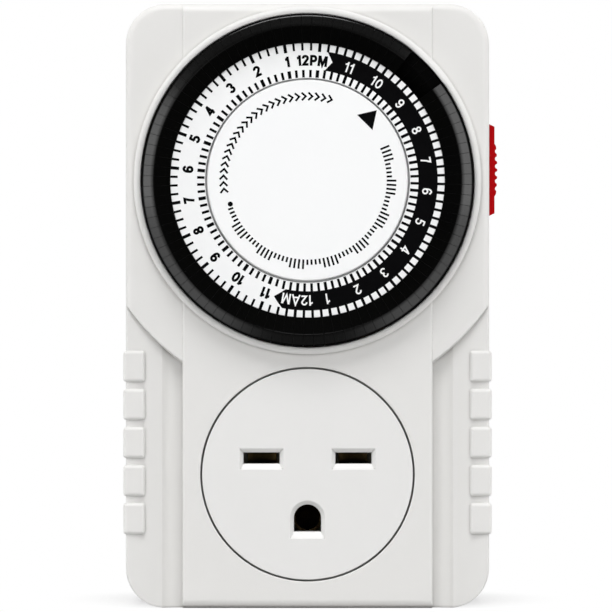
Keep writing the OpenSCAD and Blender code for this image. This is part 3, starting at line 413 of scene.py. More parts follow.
plastics = {
    # The case's edges lighten nearly to white as a painted highlight, and its creases and corners darken as
    # painted shade
    "case_plastic": dict(colour=(0.790, 0.782, 0.765), shade=(0.765, 0.758, 0.742),
                         wornAndHighlight=(0.99, 0.985, 0.97), dustAndShade=(0.50, 0.49, 0.47), reach=0.0008,
                         grain=5200.0, cloud=38.0, edge=0.00045, edgeGloss=0.24, gloss=(0.40, 0.50),
                         bump=0.22, bumpDepth=0.00005, shine=0.5),
    "outlet_plastic": dict(colour=(0.815, 0.810, 0.798), shade=(0.795, 0.790, 0.778),
                           wornAndHighlight=(0.95, 0.95, 0.94), dustAndShade=(0.30, 0.29, 0.28), reach=0.0005,
                           grain=6500.0, cloud=60.0, edge=0.00025, edgeGloss=0.24, gloss=(0.36, 0.46),
                           bump=0.14, bumpDepth=0.00004, shine=0.5),
    "knob_plastic": dict(colour=(0.50, 0.003, 0.005), shade=(0.44, 0.002, 0.004),
                         wornAndHighlight=(0.56, 0.006, 0.008), dustAndShade=(0.16, 0.001, 0.002), reach=0.0008,
                         grain=7000.0, cloud=160.0, edge=0.00014, edgeGloss=0.3, gloss=(0.40, 0.52),
                         bump=0.15, bumpDepth=0.00004, shine=0.04),
    "gear_plastic": dict(colour=(0.84, 0.80, 0.70), shade=(0.80, 0.76, 0.66), wornAndHighlight=(0.90, 0.87, 0.80),
                         dustAndShade=(0.45, 0.42, 0.35), reach=0.0006, grain=9000.0, cloud=200.0, edge=0.00008,
                         edgeGloss=0.3, gloss=(0.34, 0.46), bump=0.10, bumpDepth=0.00003, shine=0.5),
    "frame_plastic": dict(colour=(0.36, 0.40, 0.45), shade=(0.32, 0.36, 0.41), wornAndHighlight=(0.50, 0.54, 0.58),
                          dustAndShade=(0.16, 0.18, 0.20), reach=0.0015, grain=5200.0, cloud=70.0, edge=0.00016,
                          edgeGloss=0.3, gloss=(0.45, 0.60), bump=0.22, bumpDepth=0.00005, shine=0.45),
    "tray_plastic": dict(colour=(0.82, 0.78, 0.66), shade=(0.77, 0.73, 0.61), wornAndHighlight=(0.88, 0.85, 0.76),
                         dustAndShade=(0.40, 0.37, 0.30), reach=0.0012, grain=6000.0, cloud=120.0, edge=0.00012,
                         edgeGloss=0.3, gloss=(0.42, 0.55), bump=0.18, bumpDepth=0.00004, shine=0.5),
    "base_phenolic": dict(colour=(0.075, 0.034, 0.018), shade=(0.050, 0.022, 0.012),
                          wornAndHighlight=(0.16, 0.09, 0.05), dustAndShade=(0.03, 0.015, 0.010), reach=0.0010,
                          grain=3200.0, cloud=420.0, edge=0.00012, edgeGloss=0.3, gloss=(0.35, 0.55),
                          bump=0.28, bumpDepth=0.00005, shine=0.5),
    "lead_cover": dict(colour=(0.012, 0.012, 0.012), shade=(0.020, 0.020, 0.020),
                       wornAndHighlight=(0.05, 0.05, 0.05), dustAndShade=(0.03, 0.03, 0.03), reach=0.0010,
                       grain=4000.0, cloud=260.0, edge=0.00010, edgeGloss=0.3, gloss=(0.48, 0.62),
                       bump=0.20, bumpDepth=0.00004, shine=0.4),
}


# Stamped or turned metal: brushed lines, clouds of tarnish and bright edges
def makeMetal(name, look):
    material = newMaterial(name)
    tree, shader = opened(material)
    skin, edge = addTint(tree, shader, look)
    lines = placeGroup(tree, brushedLines, Fine=look["fine"], Long=look["long"])
    linked(tree, spread(tree, lines.outputs["Height"], *look["gloss"]), shader.inputs["Roughness"])
    addBump(tree, shader, lines.outputs["Height"], edge, look)
    shader.inputs["Metallic"].default_value = look["metal"]
    return material


metals = {
    # The brass darkens to near black within 6.5 mm of surrounding walls: painted shade deep in the outlet's
    # slots
    "contact_brass": dict(colour=(0.46, 0.31, 0.12), shade=(0.34, 0.22, 0.09), wornAndHighlight=(0.72, 0.54, 0.26),
                          dustAndShade=(0.003, 0.002, 0.001), reach=0.0065, grain=2400.0, cloud=260.0,
                          edge=0.00006, fine=9000.0, long=500.0, gloss=(0.22, 0.38), bump=0.12,
                          bumpDepth=0.00003, metal=1.0),
    "blade_plate": dict(colour=(0.62, 0.61, 0.58), shade=(0.53, 0.52, 0.49), wornAndHighlight=(0.76, 0.72, 0.62),
                        dustAndShade=(0.30, 0.29, 0.27), reach=0.0010, grain=2400.0, cloud=220.0,
                        edge=0.00008, fine=9000.0, long=300.0, gloss=(0.14, 0.30), bump=0.10,
                        bumpDepth=0.00003, metal=1.0),
    "plated_steel": dict(colour=(0.58, 0.59, 0.60), shade=(0.50, 0.51, 0.50), wornAndHighlight=(0.74, 0.74, 0.74),
                         dustAndShade=(0.20, 0.19, 0.18), reach=0.0010, grain=2400.0, cloud=240.0,
                         edge=0.00008, fine=7000.0, long=900.0, gloss=(0.24, 0.42), bump=0.15,
                         bumpDepth=0.00003, metal=1.0),
    "coil_copper": dict(colour=(0.66, 0.27, 0.12), shade=(0.52, 0.20, 0.09), wornAndHighlight=(0.72, 0.34, 0.18),
                        dustAndShade=(0.25, 0.09, 0.04), reach=0.0010, grain=2400.0, cloud=300.0,
                        edge=0.00008, fine=300.0, long=7000.0, gloss=(0.25, 0.45), bump=0.6,
                        bumpDepth=0.00008, metal=0.9),
    "rotor_magnet": dict(colour=(0.060, 0.060, 0.064), shade=(0.040, 0.040, 0.044),
                         wornAndHighlight=(0.14, 0.14, 0.14), dustAndShade=(0.02, 0.02, 0.02), reach=0.0010,
                         grain=2400.0, cloud=300.0, edge=0.00008, fine=5000.0, long=4000.0,
                         gloss=(0.45, 0.65), bump=0.25, bumpDepth=0.00004, metal=0.3),
}

# The dial's grooves and gaps darken as painted shade
dialLook = dict(colour=(0.965, 0.97, 0.97), shade=(0.95, 0.955, 0.96), wornAndHighlight=(0.95, 0.95, 0.95),
                dustAndShade=(0.45, 0.45, 0.45), reach=0.0004, edgeGloss=0.3, grain=6500.0, cloud=60.0,
                edge=0.00010, gloss=(0.34, 0.44), bump=0.06, bumpDepth=0.00003, shine=0.5,
                carrier=(0.003, 0.003, 0.003))


# The dial is moulded black. Its hour ring is painted white inside the paint's radius and near its face,
# and its hub is a white moulding
def makeDialMaterial(name, look):
    material = makePlastic(name, look)
    tree, shader = opened(material)
    white = shader.inputs["Base Color"].links[0].from_socket
    reach = placeGroup(tree, dialReach)
    paint = fade(tree, reach.outputs["Radius"], *(radius * mm for radius in printSet["paintOut"]))
    deep, full = (ringFace - depth * mm for depth in printSet["paintDeep"])
    paint = times(tree, paint, fade(tree, reach.outputs["Height"], deep, full))
    hub = fade(tree, reach.outputs["Radius"], *(radius * mm for radius in printSet["whiteHub"]))
    paint = larger(tree, paint, hub)
    linked(tree, mixColours(tree, paint, look["carrier"], white), shader.inputs["Base Color"])
    return material


# Radii between which the lip's rim fades in and out, and how far below its top it ends; its plain colour
# there hides the painted shade and painted highlight
lipSet = dict(inner=(32.8, 33.1), outer=(34.7, 34.3), tall=(1.2, 0.3), colour=(0.79, 0.785, 0.77))


# 1 between an inner and an outer pair of radii and above a pair of heights, 0 outside all of them
def ringMask(tree, inner, outer, heights):
    reach = placeGroup(tree, dialReach)
    mask = fade(tree, reach.outputs["Height"], *heights)
    for start, end in (inner, outer):
        mask = times(tree, mask, fade(tree, reach.outputs["Radius"], start * mm, end * mm))
    return mask


# The front shell is grained all over, and the rim of the lip round the dial takes one plain colour, free of
# the painted shade and painted highlight
def makeCaseMaterial(name, look):
    material = makePlastic(name, look)
    tree, shader = opened(material)
    grained = shader.inputs["Base Color"].links[0].from_socket
    rim = ringMask(tree, lipSet["inner"], lipSet["outer"], [lipTop - drop * mm for drop in lipSet["tall"]])
    linked(tree, mixColours(tree, rim, grained, lipSet["colour"]), shader.inputs["Base Color"])
    return material


# polishIn and polishOut are radii between which the polish fades in and out, and polishTall is how far
# above the lip it begins and is full
# Their edges lighten tenfold over the black, a painted highlight that picks out each segment, and their
# corners darken as painted shade
segmentLook = dict(colour=(0.0013, 0.0013, 0.0013), shade=(0.0020, 0.0020, 0.0018),
                   wornAndHighlight=(0.014, 0.014, 0.014), dustAndShade=(0.0008, 0.0008, 0.0008), reach=0.0003,
                   grain=8000.0, cloud=180.0, edge=0.00010, edgeGloss=0.5, gloss=(0.55, 0.65),
                   bump=0.12, bumpDepth=0.00003, shine=0.01, polishIn=(30.4, 31.2),
                   polishOut=(32.68, 32.52), polishTall=(0.4, 0.9), coat=0.76, coatRough=0.17,
                   coatBend=1.7)


# The segments are matt on the slope that faces the dial and on their shoulders, and polished between;
# those that stand pushed down, below the lip, are matt all over
def makeSegmentMaterial(name, look):
    material = makePlastic(name, look)
    tree, shader = opened(material)
    heights = [lipTop + rise * mm for rise in look["polishTall"]]
    polished = ringMask(tree, look["polishIn"], look["polishOut"], heights)
    linked(tree, times(tree, polished, look["coat"]), shader.inputs["Coat Weight"])
    shader.inputs["Coat Roughness"].default_value = look["coatRough"]
    shader.inputs["Coat IOR"].default_value = look["coatBend"]
    return material


# thin is how much of its colour a thinner spot of ink keeps, and lift what shows through it
inkLook = dict(black=(0.0016, 0.0016, 0.0020), blackRough=0.6, white=(0.93, 0.93, 0.93), whiteRough=0.5,
               grain=9000.0, cloud=500.0, thin=0.97, lift=0.002, roughSpread=0.05, shine=0.02)


# Ink: clouds shift its tint and its roughness, as its film is thicker and thinner
def makeInk(name, colour, rough):
    material = newMaterial(name)
    tree, shader = opened(material)
    skin = placeGroup(tree, mouldedSkin, Grain=inkLook["grain"], Cloud=inkLook["cloud"])
    thinner = tuple(value * inkLook["thin"] + inkLook["lift"] for value in colour)
    linked(tree, mixColours(tree, skin.outputs["Cloud"], colour, thinner), shader.inputs["Base Color"])
    low, high = rough - inkLook["roughSpread"], rough + inkLook["roughSpread"]
    linked(tree, spread(tree, skin.outputs["Cloud"], low, high), shader.inputs["Roughness"])
    shader.inputs["Specular IOR Level"].default_value = inkLook["shine"]
    return material


# The printed hour ring: radii and widths in millimetres, angles in degrees
printSet = {
    "midnight": -95.3,
    "paintOut": (27.23, 27.21),
    "paintDeep": (0.61, 0.59),
    "whiteHub": (20.7, 20.6),    # the dial is white at any depth inside these radii
    "outerTicks": (25.75, 27.19),
    "outerHourIn": 25.57,
    "innerTicks": (20.42, 21.9),
    "bandRadii": (22.0, 25.8),
    "bandLap": 0.1,              # how far the night's ticks reach into the band
    "bandSteps": (90, 5),        # along it and across it
    "outerWidths": (0.44, 0.62),
    "innerWidths": (0.50, 0.66),
    "nightOuterWidths": (0.50, 0.58),
    "nightInnerWidths": (0.50, 0.58),
    "numeralRadius": 23.8,
    "numeralHeight": 2.1,
    "numeralSpread": 1.17,       # how much wider than drawn the numerals stand
    "numeralGap": 0.09,          # between two glyphs, as a share of their height
    "noonShift": 3.1,            # the words at noon and midnight stand this far from their ticks
    "midnightShift": 0.35,
    "boldStroke": 0.235,
    "fineStroke": 0.15,
    "nightFrom": -2,             # first and last quarter hour that are printed white on black
    "nightTo": 47,
    "topCut": (3.6, 6.7),        # how far from noon the band's edges and its point end
    "bottomCut": (6.0, 10.9),
}
# The dial's day in quarter hours, and the angle of one
quarters = 96
hourQuarters = 4
quarterTurn = 360 / quarters

# Each glyph is 1 tall: its width, and its strokes as (path, closed)
glyphs = {
    "0": (0.56, [(bow(0.28, 0.5, 0.19, 0.40, 0, 345, 24), True)]),
    "1": (0.34, [(bow(0.02, 0.93, 0.20, 0.20, 270, 345, 8), False),
                 ([(0.24, 0.0), (0.24, 1.0)], False)]),
    "2": (0.56, [(np.concatenate([bow(0.275, 0.70, 0.185, 0.20, 190, -30, 14),
                                  [(0.13, 0.11), (0.52, 0.11)]]), False)]),
    "3": (0.56, [(bow(0.265, 0.71, 0.17, 0.19, 165, -90, 14), False),
                 (bow(0.265, 0.31, 0.195, 0.21, 90, -165, 16), False)]),
    "4": (0.58, [([(0.36, 0.88), (0.10, 0.29), (0.56, 0.29)], False),
                 ([(0.40, 0.0), (0.40, 1.0)], False)]),
    "5": (0.56, [([(0.49, 0.90), (0.16, 0.90), (0.12, 0.48)], False),
                 (bow(0.26, 0.33, 0.20, 0.23, 140, -165, 16), False)]),
    "6": (0.56, [(bow(0.28, 0.32, 0.185, 0.22, 0, 345, 22), True),
                 (np.concatenate([[(0.095, 0.34)], bow(0.295, 0.55, 0.20, 0.35, 180, 28, 12)]), False)]),
    "7": (0.54, [([(0.05, 0.90), (0.46, 0.90), (0.33, 0.55), (0.22, 0.0)], False)]),
    "8": (0.56, [(bow(0.28, 0.72, 0.155, 0.18, 0, 345, 20), True),
                 (bow(0.28, 0.30, 0.19, 0.20, 0, 345, 22), True)]),
    "9": (0.56, [(bow(0.28, 0.68, 0.185, 0.22, 0, 345, 22), True),
                 (np.concatenate([[(0.465, 0.66)], bow(0.265, 0.45, 0.20, 0.35, 0, -152, 12)]), False)]),
    "A": (0.66, [([(0.04, 0.0), (0.33, 0.97), (0.62, 0.0)], False),
                 ([(0.16, 0.27), (0.50, 0.27)], False)]),
    "P": (0.58, [([(0.11, 0.0), (0.11, 1.0)], False),
                 (np.concatenate([[(0.11, 0.90)], bow(0.31, 0.67, 0.18, 0.23, 90, -90, 12),
                                  [(0.11, 0.44)]]), False)]),
    "M": (0.76, [([(0.10, 0.0), (0.10, 1.0)], False), ([(0.66, 0.0), (0.66, 1.0)], False),
                 ([(0.13, 0.98), (0.38, 0.14), (0.63, 0.98)], False)]),
}
glyphMiddle = 0.5


# Strokes of a word that stands on the dial with its top outwards. A glyph's point (gx, gy) becomes
# onDial(radius, angle) + gx * clockwise tangent + gy * outward, each glyph turned to its own angle
def dialWord(word, hour, shift, stroke, face):
    radius, height, gap = (printSet[key] for key in ("numeralRadius", "numeralHeight", "numeralGap"))
    angle = printSet["midnight"] + hourQuarters * quarterTurn * hour + shift
    stretch = np.array([printSet["numeralSpread"], 1.0])
    widths = np.array([glyphs[letter][0] for letter in word]) * stretch[0]
    starts = np.concatenate([[0], np.cumsum(widths + gap)[:-1]])
    middles = starts + widths / 2 - (widths.sum() + gap * (len(word) - 1)) / 2
    parts = []
    for letter, middle in zip(word, middles):
        own = angle - math.degrees(middle * height / radius)
        outward = heading(own)
        clockwise = -leftOf(outward)
        wide, strokes = glyphs[letter]
        for order, (path, closed) in enumerate(strokes):
            local = (np.asarray(path, float) - [wide / 2, glyphMiddle]) * stretch * height * mm
            placed = onDial(radius * mm, own) + local[:, :1] * clockwise + local[:, 1:] * outward
            top = face + (inkSet["film"] + order * inkSet["lap"]) * mm
            parts.append(ribbon(placed, stroke * height * mm, face - inkSet["sunk"] * mm, top, closed))
    return parts


# The black band that carries the morning's numerals: radius runs from inner to outer across it, and at
# each radius the angle runs between two ends that come to a point at mid width, by 1 - |2v - 1|
def nightBand():
    low = ringFace - inkSet["sunk"] * mm
    high = ringFace + inkSet["film"] * mm
    stepsAlong, stepsAcross = printSet["bandSteps"]
    u = np.linspace(0, 1, stepsAlong)[:, None]
    v = np.linspace(0, 1, stepsAcross)
    point = 1 - np.abs(2 * v - 1)
    noon = printSet["midnight"] + 180
    topCut, bottomCut = printSet["topCut"], printSet["bottomCut"]
    start = noon - topCut[0] - (topCut[1] - topCut[0]) * point
    end = printSet["midnight"] - bottomCut[0] - (bottomCut[1] - bottomCut[0]) * point
    angle = start + (end - start) * u
    inner, outer = printSet["bandRadii"]
    radius = np.broadcast_to((inner + (outer - inner) * v) * mm, angle.shape)
    return plate(onDial(radius, angle), low, high)


# Ticks at every quarter hour in an outer and an inner row, wider at the hours, and the hours' numerals
def makeHourRing(blackInk, whiteInk):
    quarter = np.arange(quarters)
    angles = printSet["midnight"] + quarterTurn * quarter
    night = (quarter <= printSet["nightTo"]) | (quarter >= quarters + printSet["nightFrom"])
    onHour = quarter % hourQuarters == 0
    low = ringFace - inkSet["sunk"] * mm
    high = ringFace + (inkSet["film"] + inkSet["lap"]) * mm

    def widths(day, dark):
        return np.where(night, np.where(onHour, dark[1], dark[0]), np.where(onHour, day[1], day[0])) * mm

    bandIn, bandOut = printSet["bandRadii"]
    outerIn, outerOut = printSet["outerTicks"]
    dayIn = np.where(onHour, printSet["outerHourIn"], outerIn)
    outerStart = np.where(night, bandOut - printSet["bandLap"], dayIn) * mm
    outer = radialBars(angles, outerStart, outerOut * mm,
                       widths(printSet["outerWidths"], printSet["nightOuterWidths"]), low, high)
    innerIn, innerOut = printSet["innerTicks"]
    innerEnd = np.where(night, bandIn + printSet["bandLap"], innerOut) * mm
    inner = radialBars(angles, innerIn * mm, innerEnd,
                       widths(printSet["innerWidths"], printSet["nightInnerWidths"]), low, high)
    hours = [(str(hour), hour, 0.0) for hour in range(1, 12)]
    black = [outer, inner, nightBand()]
    for word, hour, shift in [("12PM", 0, printSet["noonShift"])] + hours:
        black += dialWord(word, hour + 12, shift, printSet["boldStroke"], ringFace)
    white = []
    for word, hour, shift in [("12AM", 0, printSet["midnightShift"])] + hours:
        white += dialWord(word, hour, shift, printSet["fineStroke"], ringFace + inkSet["film"] * mm)
    makePiece("hour_ring_ink", black, blackInk, "dial")
    makePiece("hour_ring_numerals", white, whiteInk, "dial")


# The fixed disc's print: millimetres and degrees
legendSet = {
    "radius": 16.65,
    "stroke": 0.38,
    "pointerQuarter": 37.5,      # it points at this many quarter hours past midnight
    "pointerBase": 16.14,
    "pointerTip": 19.5,
    "pointerHalf": 2.15,
    "pointerTaper": 0.995,       # share of its width that it has lost at its tip
    "pointerSteps": 6,
    "arrowsFrom": 187.0,         # chevrons run clockwise towards the pointer
    "arrowsTo": 70.0,
    "arrowPitch": 4.5,
    "arrowHeight": 1.9,
    "arrowShape": ((-0.22, 0.40), (0.20, 0.0), (-0.22, -0.40)),    # clockwise and outward, per height
    "barsFrom": 23.0,            # bars run clockwise round the other side
    "barsTo": -160.0,
    "barPitch": 2.9,
    "barReach": 0.95,            # how far a bar reaches to both sides of its radius
    "barPushed": 0.1,            # and how far it reaches outwards when it shows a pushed segment
    "barGroup": 4,
    "dotRadius": 0.5,
    "dotAt": (16.0, 197.1),      # radius and angle
    "dotSteps": (0, 345, 24),    # first and last angle of its closed ring, and how many points
}


# The pointer: its half width falls evenly from its base to its tip, half * (1 - taper * v)
def pointer(low, high):
    outward = heading(printSet["midnight"] + quarterTurn * legendSet["pointerQuarter"])
    v = np.linspace(0, 1, legendSet["pointerSteps"])[:, None]
    base, tip = legendSet["pointerBase"], legendSet["pointerTip"]
    middle = dialCentre + (base + (tip - base) * v) * mm * outward
    side = legendSet["pointerHalf"] * (1 - legendSet["pointerTaper"] * v) * mm * leftOf(outward)
    return barCorners(middle + side, middle - side, low, high).reshape(-1, 3), barQuads(len(v))


# A chevron: a ribbon over three corners of its shape, turned to its own angle on the dial
def chevron(angle, low, high):
    up = heading(angle)
    corner = np.array(legendSet["arrowShape"]) * legendSet["arrowHeight"] * mm
    path = onDial(legendSet["radius"] * mm, angle) - corner[:, :1] * leftOf(up) + corner[:, 1:] * up
    return ribbon(path, legendSet["stroke"] * mm, low, high)


# Bars like the segments, from radius - reach to radius + reach, or only to radius + pushed in every
# second group
def segmentBars(low, high):
    angles = np.arange(legendSet["barsFrom"], legendSet["barsTo"], -legendSet["barPitch"])
    pushed = (np.arange(len(angles)) // legendSet["barGroup"]) % 2 == 1
    middle, reach = legendSet["radius"], legendSet["barReach"]
    outer = middle + np.where(pushed, legendSet["barPushed"], reach)
    return radialBars(angles, (middle - reach) * mm, outer * mm, legendSet["stroke"] * mm, low, high)


# A round dot: a closed ribbon on half its radius, as wide as its radius
def dot(low, high):
    away, angle = legendSet["dotAt"]
    half = legendSet["dotRadius"] * mm / 2
    path = onDial(away * mm, angle) + bow(0, 0, half, half, *legendSet["dotSteps"])
    return ribbon(path, 2 * half, low, high, True)


def makeDiscPrint(blackInk):
    low = discFace - inkSet["sunk"] * mm
    high = discFace + inkSet["film"] * mm
    arrows = np.arange(legendSet["arrowsFrom"], legendSet["arrowsTo"], -legendSet["arrowPitch"])
    parts = [pointer(low, high), *(chevron(angle, low, high) for angle in arrows),
             segmentBars(low, high), dot(low, high)]
    makePiece("disc_ink", parts, blackInk, "case")


# The blank label on the back, in millimetres
labelSet = {
    "centre": (0.0, 51.1),
    "size": (35.2, 23.2),
    "corner": 1.6,
    "cornerSteps": 9,
    "floor": 0.4,          # depth of the recess it lies in
    "film": 0.12,
    "sunk": 0.02,          # how far the film reaches under the recess's floor
    "ink": 0.02,
    "inkSunk": 0.01,
    "frameIn": 1.1,        # from the label's edge to its printed frame
    "frameLine": 0.28,
    "rules": (6.2, 1.4, -3.4),    # heights of the ruled lines above the centre
    "split": -4.0,
    "ruleLine": 0.18,
    "colour": (0.74, 0.745, 0.75),
    "gloss": (0.42, 0.5),
    "metal": 0.6,
}


# Upper half of a rounded rectangle's edge, mirrored below: z = h/2 - r + sqrt(r^2 - past^2), where past is
# how far x is into the corner
def roundedPlate(size, corner, centre, low, high):
    t = np.radians(np.linspace(0, 90, labelSet["cornerSteps"]))
    x = np.concatenate([[0], size[0] / 2 - corner + corner * np.sin(t)])
    z = np.concatenate([[size[1] / 2], size[1] / 2 - corner + corner * np.cos(t)])
    x = np.concatenate([-x[:0:-1], x])
    z = np.concatenate([z[:0:-1], z])
    flat = np.stack([np.stack([x, -z], 1), np.stack([x, z], 1)], 1) + centre
    return plate(flat * mm, low * mm, high * mm)


# A matt film with a printed frame and ruled, empty fields
def makeLabel(blackInk):
    wide, tall = labelSet["size"]
    centre = np.array(labelSet["centre"])
    bed = labelSet["floor"] + labelSet["sunk"]
    skin = labelSet["floor"] - labelSet["film"]
    film = roundedPlate(labelSet["size"], labelSet["corner"], centre, bed, skin)
    look = dict(metals["blade_plate"], **{key: labelSet[key] for key in ("colour", "gloss", "metal")})
    makePiece("rating_label", [film], makeMetal("label_film", look), "case")
    low, high = (skin + labelSet["inkSunk"]) * mm, (skin - labelSet["ink"]) * mm
    right, top = wide / 2 - labelSet["frameIn"], tall / 2 - labelSet["frameIn"]

    def line(path, width, closed=False):
        return ribbon((np.array(path) + centre) * mm, width * mm, low, high, closed)

    parts = [line([[-right, -top], [right, -top], [right, top], [-right, top]], labelSet["frameLine"], True)]
    for rise in labelSet["rules"]:
        parts.append(line([[-right, rise], [right, rise]], labelSet["ruleLine"]))
    upright = [[labelSet["split"], -top], [labelSet["split"], labelSet["rules"][-1]]]
    parts.append(line(upright, labelSet["ruleLine"]))
    makePiece("label_ink", parts, blackInk, "case")


# Every node gets its slot's finish, and the dial and the front shell a finish of their own
slotMaterials = {name: makePlastic(name, look) for name, look in plastics.items()}
slotMaterials.update({name: makeMetal(name, look) for name, look in metals.items()})
frontMaterial = makeCaseMaterial("front_shell", plastics["case_plastic"])
slotMaterials["segment_plastic"] = makeSegmentMaterial("segment_plastic", segmentLook)
slotMaterials["dial_plastic"] = makePlastic("dial_plastic", dialLook)
dialMaterial = makeDialMaterial("painted_dial", dialLook)
ownMaterials = {"time_dial": dialMaterial, "front_case": frontMaterial}
for part in frame["record"]["subparts"]:
    node = frame["nodes"][part["node"]]
    node.data.materials.clear()
    node.data.materials.append(ownMaterials.get(part["node"], slotMaterials[part["material_slot"]]))
print("finishes set:", len(slotMaterials))

blackInk = makeInk("black_ink", inkLook["black"], inkLook["blackRough"])
whiteInk = makeInk("white_ink", inkLook["white"], inkLook["whiteRough"])
makeHourRing(blackInk, whiteInk)
makeDiscPrint(blackInk)
print("dial printed")
makeLabel(blackInk)
print("label laid")

# Lengths in metres. The floor takes shadows out to near, and fades to plain white by far
floorSet = {
    "size": 8.0,
    "near": 0.030,
    "far": 0.062,
    "colour": (0.80, 0.80, 0.80),
    "rough": 0.9,
    "glow": 0.12,
    "bounce": (0.5, 0.5, 0.5),       # its colour to light that isn't mirrored
    "mirrorSpan": (0.018, 0.070),    # x on both sides between which its mirrored level rises
    "mirrorLevels": (0.10, 1.25),
}


# To the camera: pale and shadowed near the object, plain white far off. To gloss it glows, as painted light
# that the object mirrors, at a level that rises with |x|, dark down the middle and bright to both sides. To
# other light: a grey
def makeFloorMaterial():
    material = newMaterial("pale_floor")
    tree, shader = opened(material)
    shader.inputs["Roughness"].default_value = floorSet["rough"]
    shader.inputs["Specular IOR Level"].default_value = 0.0
    feed(tree, shader.inputs["Base Color"], floorSet["colour"])
    place = addNode(tree, "ShaderNodeTexCoord")
    path = addNode(tree, "ShaderNodeLightPath")
    reach = addNode(tree, "ShaderNodeVectorMath", operation="LENGTH")
    split = addNode(tree, "ShaderNodeSeparateXYZ")
    glow = addNode(tree, "ShaderNodeEmission", Strength=floorSet["glow"])
    white = addNode(tree, "ShaderNodeEmission", Strength=1.0)
    near = addNode(tree, "ShaderNodeAddShader")
    dull = addNode(tree, "ShaderNodeBsdfDiffuse")
    sheen = addNode(tree, "ShaderNodeEmission")
    linked(tree, place.outputs["Object"], reach.inputs[0])
    linked(tree, place.outputs["Object"], split.inputs[0])
    linked(tree, shader.outputs[0], near.inputs[0])
    linked(tree, glow.outputs[0], near.inputs[1])
    feed(tree, dull.inputs["Color"], floorSet["bounce"])
    aside = combine(tree, "ABSOLUTE", split.outputs["X"])
    mirrored = fade(tree, aside, *floorSet["mirrorSpan"], *floorSet["mirrorLevels"], "SMOOTHSTEP")
    linked(tree, mirrored, sheen.inputs["Strength"])
    far = fade(tree, reach.outputs["Value"], floorSet["near"], floorSet["far"], kind="SMOOTHSTEP")
    seen = mixShaders(tree, far, near.outputs[0], white.outputs[0])
    other = mixShaders(tree, path.outputs["Is Glossy Ray"], dull.outputs[0], sheen.outputs[0])
    pick = mixShaders(tree, path.outputs["Is Camera Ray"], other, seen)
    linked(tree, pick, tree.nodes["Material Output"].inputs["Surface"])
    return material


# A level square at the case's foot: z = foot over x and y of +- size / 2
def makeFloor():
    half = floorSet["size"] / 2
    u = np.linspace(-half, half, 2)
    x, y = np.meshgrid(u, u, indexing="ij")
    points = np.stack([x, y, np.full_like(x, foot)], -1).reshape(-1, 3)
    mesh = bpy.data.meshes.new("floor")
    mesh.from_pydata(points.tolist(), [], [[0, 2, 3, 1]])
    floor = bpy.data.objects.new("floor", mesh)
    bpy.context.scene.collection.objects.link(floor)
    mesh.materials.append(makeFloorMaterial())


# Each span is the part of the view, from -1 to 1, over which the world's level changes
worldSet = {
    "lightSpan": (-0.5, 0.6),       # upwards
    "lightLevels": (0.40, 0.44),
    "glossSpan": (-0.1, 0.4),       # away from the camera
    "glossLevels": (0.06, 1.0),
}
plainWhite = (1.0, 1.0, 1.0)


def worldLevel(tree, source, span, levels):
    plain = addNode(tree, "ShaderNodeBackground")
    feed(tree, plain.inputs["Color"], plainWhite)
    linked(tree, fade(tree, source, *span, *levels, "SMOOTHSTEP"), plain.inputs["Strength"])
    return plain.outputs[0]


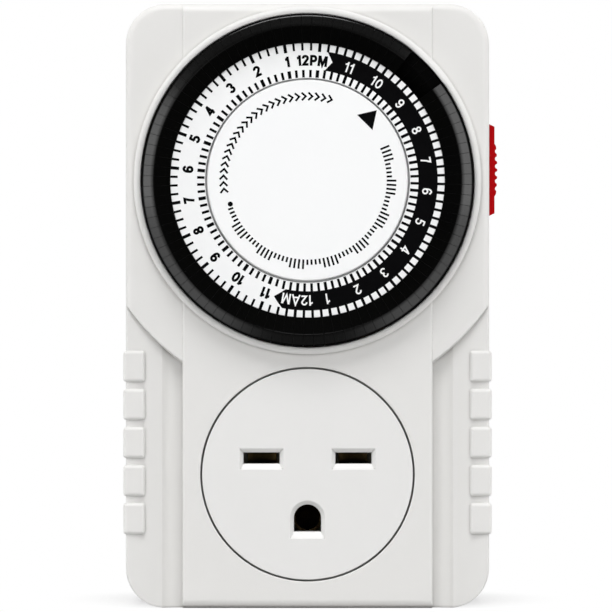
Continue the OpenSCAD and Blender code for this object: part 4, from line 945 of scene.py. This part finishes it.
# White to the camera. To gloss and glass it is white behind the object and dim on the camera's side,
# and as light it is stronger overhead than below
def makeWorld():
    world = bpy.data.worlds.new("studio")
    bpy.context.scene.world = world
    world.use_nodes = True
    tree = world.node_tree
    place = addNode(tree, "ShaderNodeTexCoord")
    split = addNode(tree, "ShaderNodeSeparateXYZ")
    path = addNode(tree, "ShaderNodeLightPath")
    linked(tree, place.outputs["Generated"], split.inputs[0])
    light = worldLevel(tree, split.outputs["Z"], worldSet["lightSpan"], worldSet["lightLevels"])
    gloss = worldLevel(tree, split.outputs["Y"], worldSet["glossSpan"], worldSet["glossLevels"])
    white = tree.nodes["Background"]
    feed(tree, white.inputs["Color"], plainWhite)
    white.inputs["Strength"].default_value = 1.0
    either = larger(tree, path.outputs["Is Glossy Ray"], path.outputs["Is Transmission Ray"])
    shine = mixShaders(tree, either, light, gloss)
    pick = mixShaders(tree, path.outputs["Is Camera Ray"], shine, white.outputs[0])
    linked(tree, pick, tree.nodes["World Output"].inputs["Surface"])


lampSet = {
    "key": dict(power=46.0, wide=1.5, tall=1.5, place=(-0.16, -1.50, 2.50)),
    "leftCard": dict(power=6.0, wide=0.7, tall=1.25, place=(-0.70, -1.31, -0.12)),
    "rightCard": dict(power=6.0, wide=0.7, tall=1.25, place=(0.70, -1.31, -0.02)),
    "leftSide": dict(power=5.0, wide=0.5, tall=0.9, place=(-1.20, -0.14, 0.20), mirrored=False),
    "rightSide": dict(power=5.0, wide=0.5, tall=0.9, place=(1.20, -0.14, 0.20), mirrored=False),
}
lampTarget = (0.0, 0.0, 0.03)


# A soft lamp, wide by tall, that looks at the target. One that isn't mirrored shows in no gloss
def makeLamp(name, power, wide, tall, place, mirrored=True):
    lamp = bpy.data.lights.new(name, "AREA")
    lamp.energy = power
    lamp.shape = "RECTANGLE"
    lamp.size = wide
    lamp.size_y = tall
    body = bpy.data.objects.new(name, lamp)
    bpy.context.scene.collection.objects.link(body)
    body.location = place
    body.visible_glossy = mirrored
    x, y, z = np.array(lampTarget) - np.array(place)
    body.rotation_euler = (math.atan2(math.hypot(x, y), -z), 0, math.atan2(-x, y))


# Lengths in metres but for the sensor, in millimetres. The view is this wide at the lip's top
cameraSet = {"x": -0.0003, "z": 0.0302, "away": 1.2, "view": 0.1213, "sensor": 36, "reach": 50}


def makeCamera():
    lens = bpy.data.cameras.new("camera")
    lens.sensor_width = cameraSet["sensor"]
    lens.lens = cameraSet["sensor"] * cameraSet["away"] / cameraSet["view"]
    lens.clip_end = cameraSet["reach"]
    eye = bpy.data.objects.new("camera", lens)
    bpy.context.scene.collection.objects.link(eye)
    eye.location = (cameraSet["x"], -lipTop - cameraSet["away"], cameraSet["z"])
    eye.rotation_euler = (math.pi / 2, 0, 0)
    bpy.context.scene.camera = eye


makeFloor()
makeWorld()
for lampName, lamp in lampSet.items():
    makeLamp(lampName, **lamp)
makeCamera()
bpy.context.scene.view_settings.view_transform = "Standard"
print("stage set")
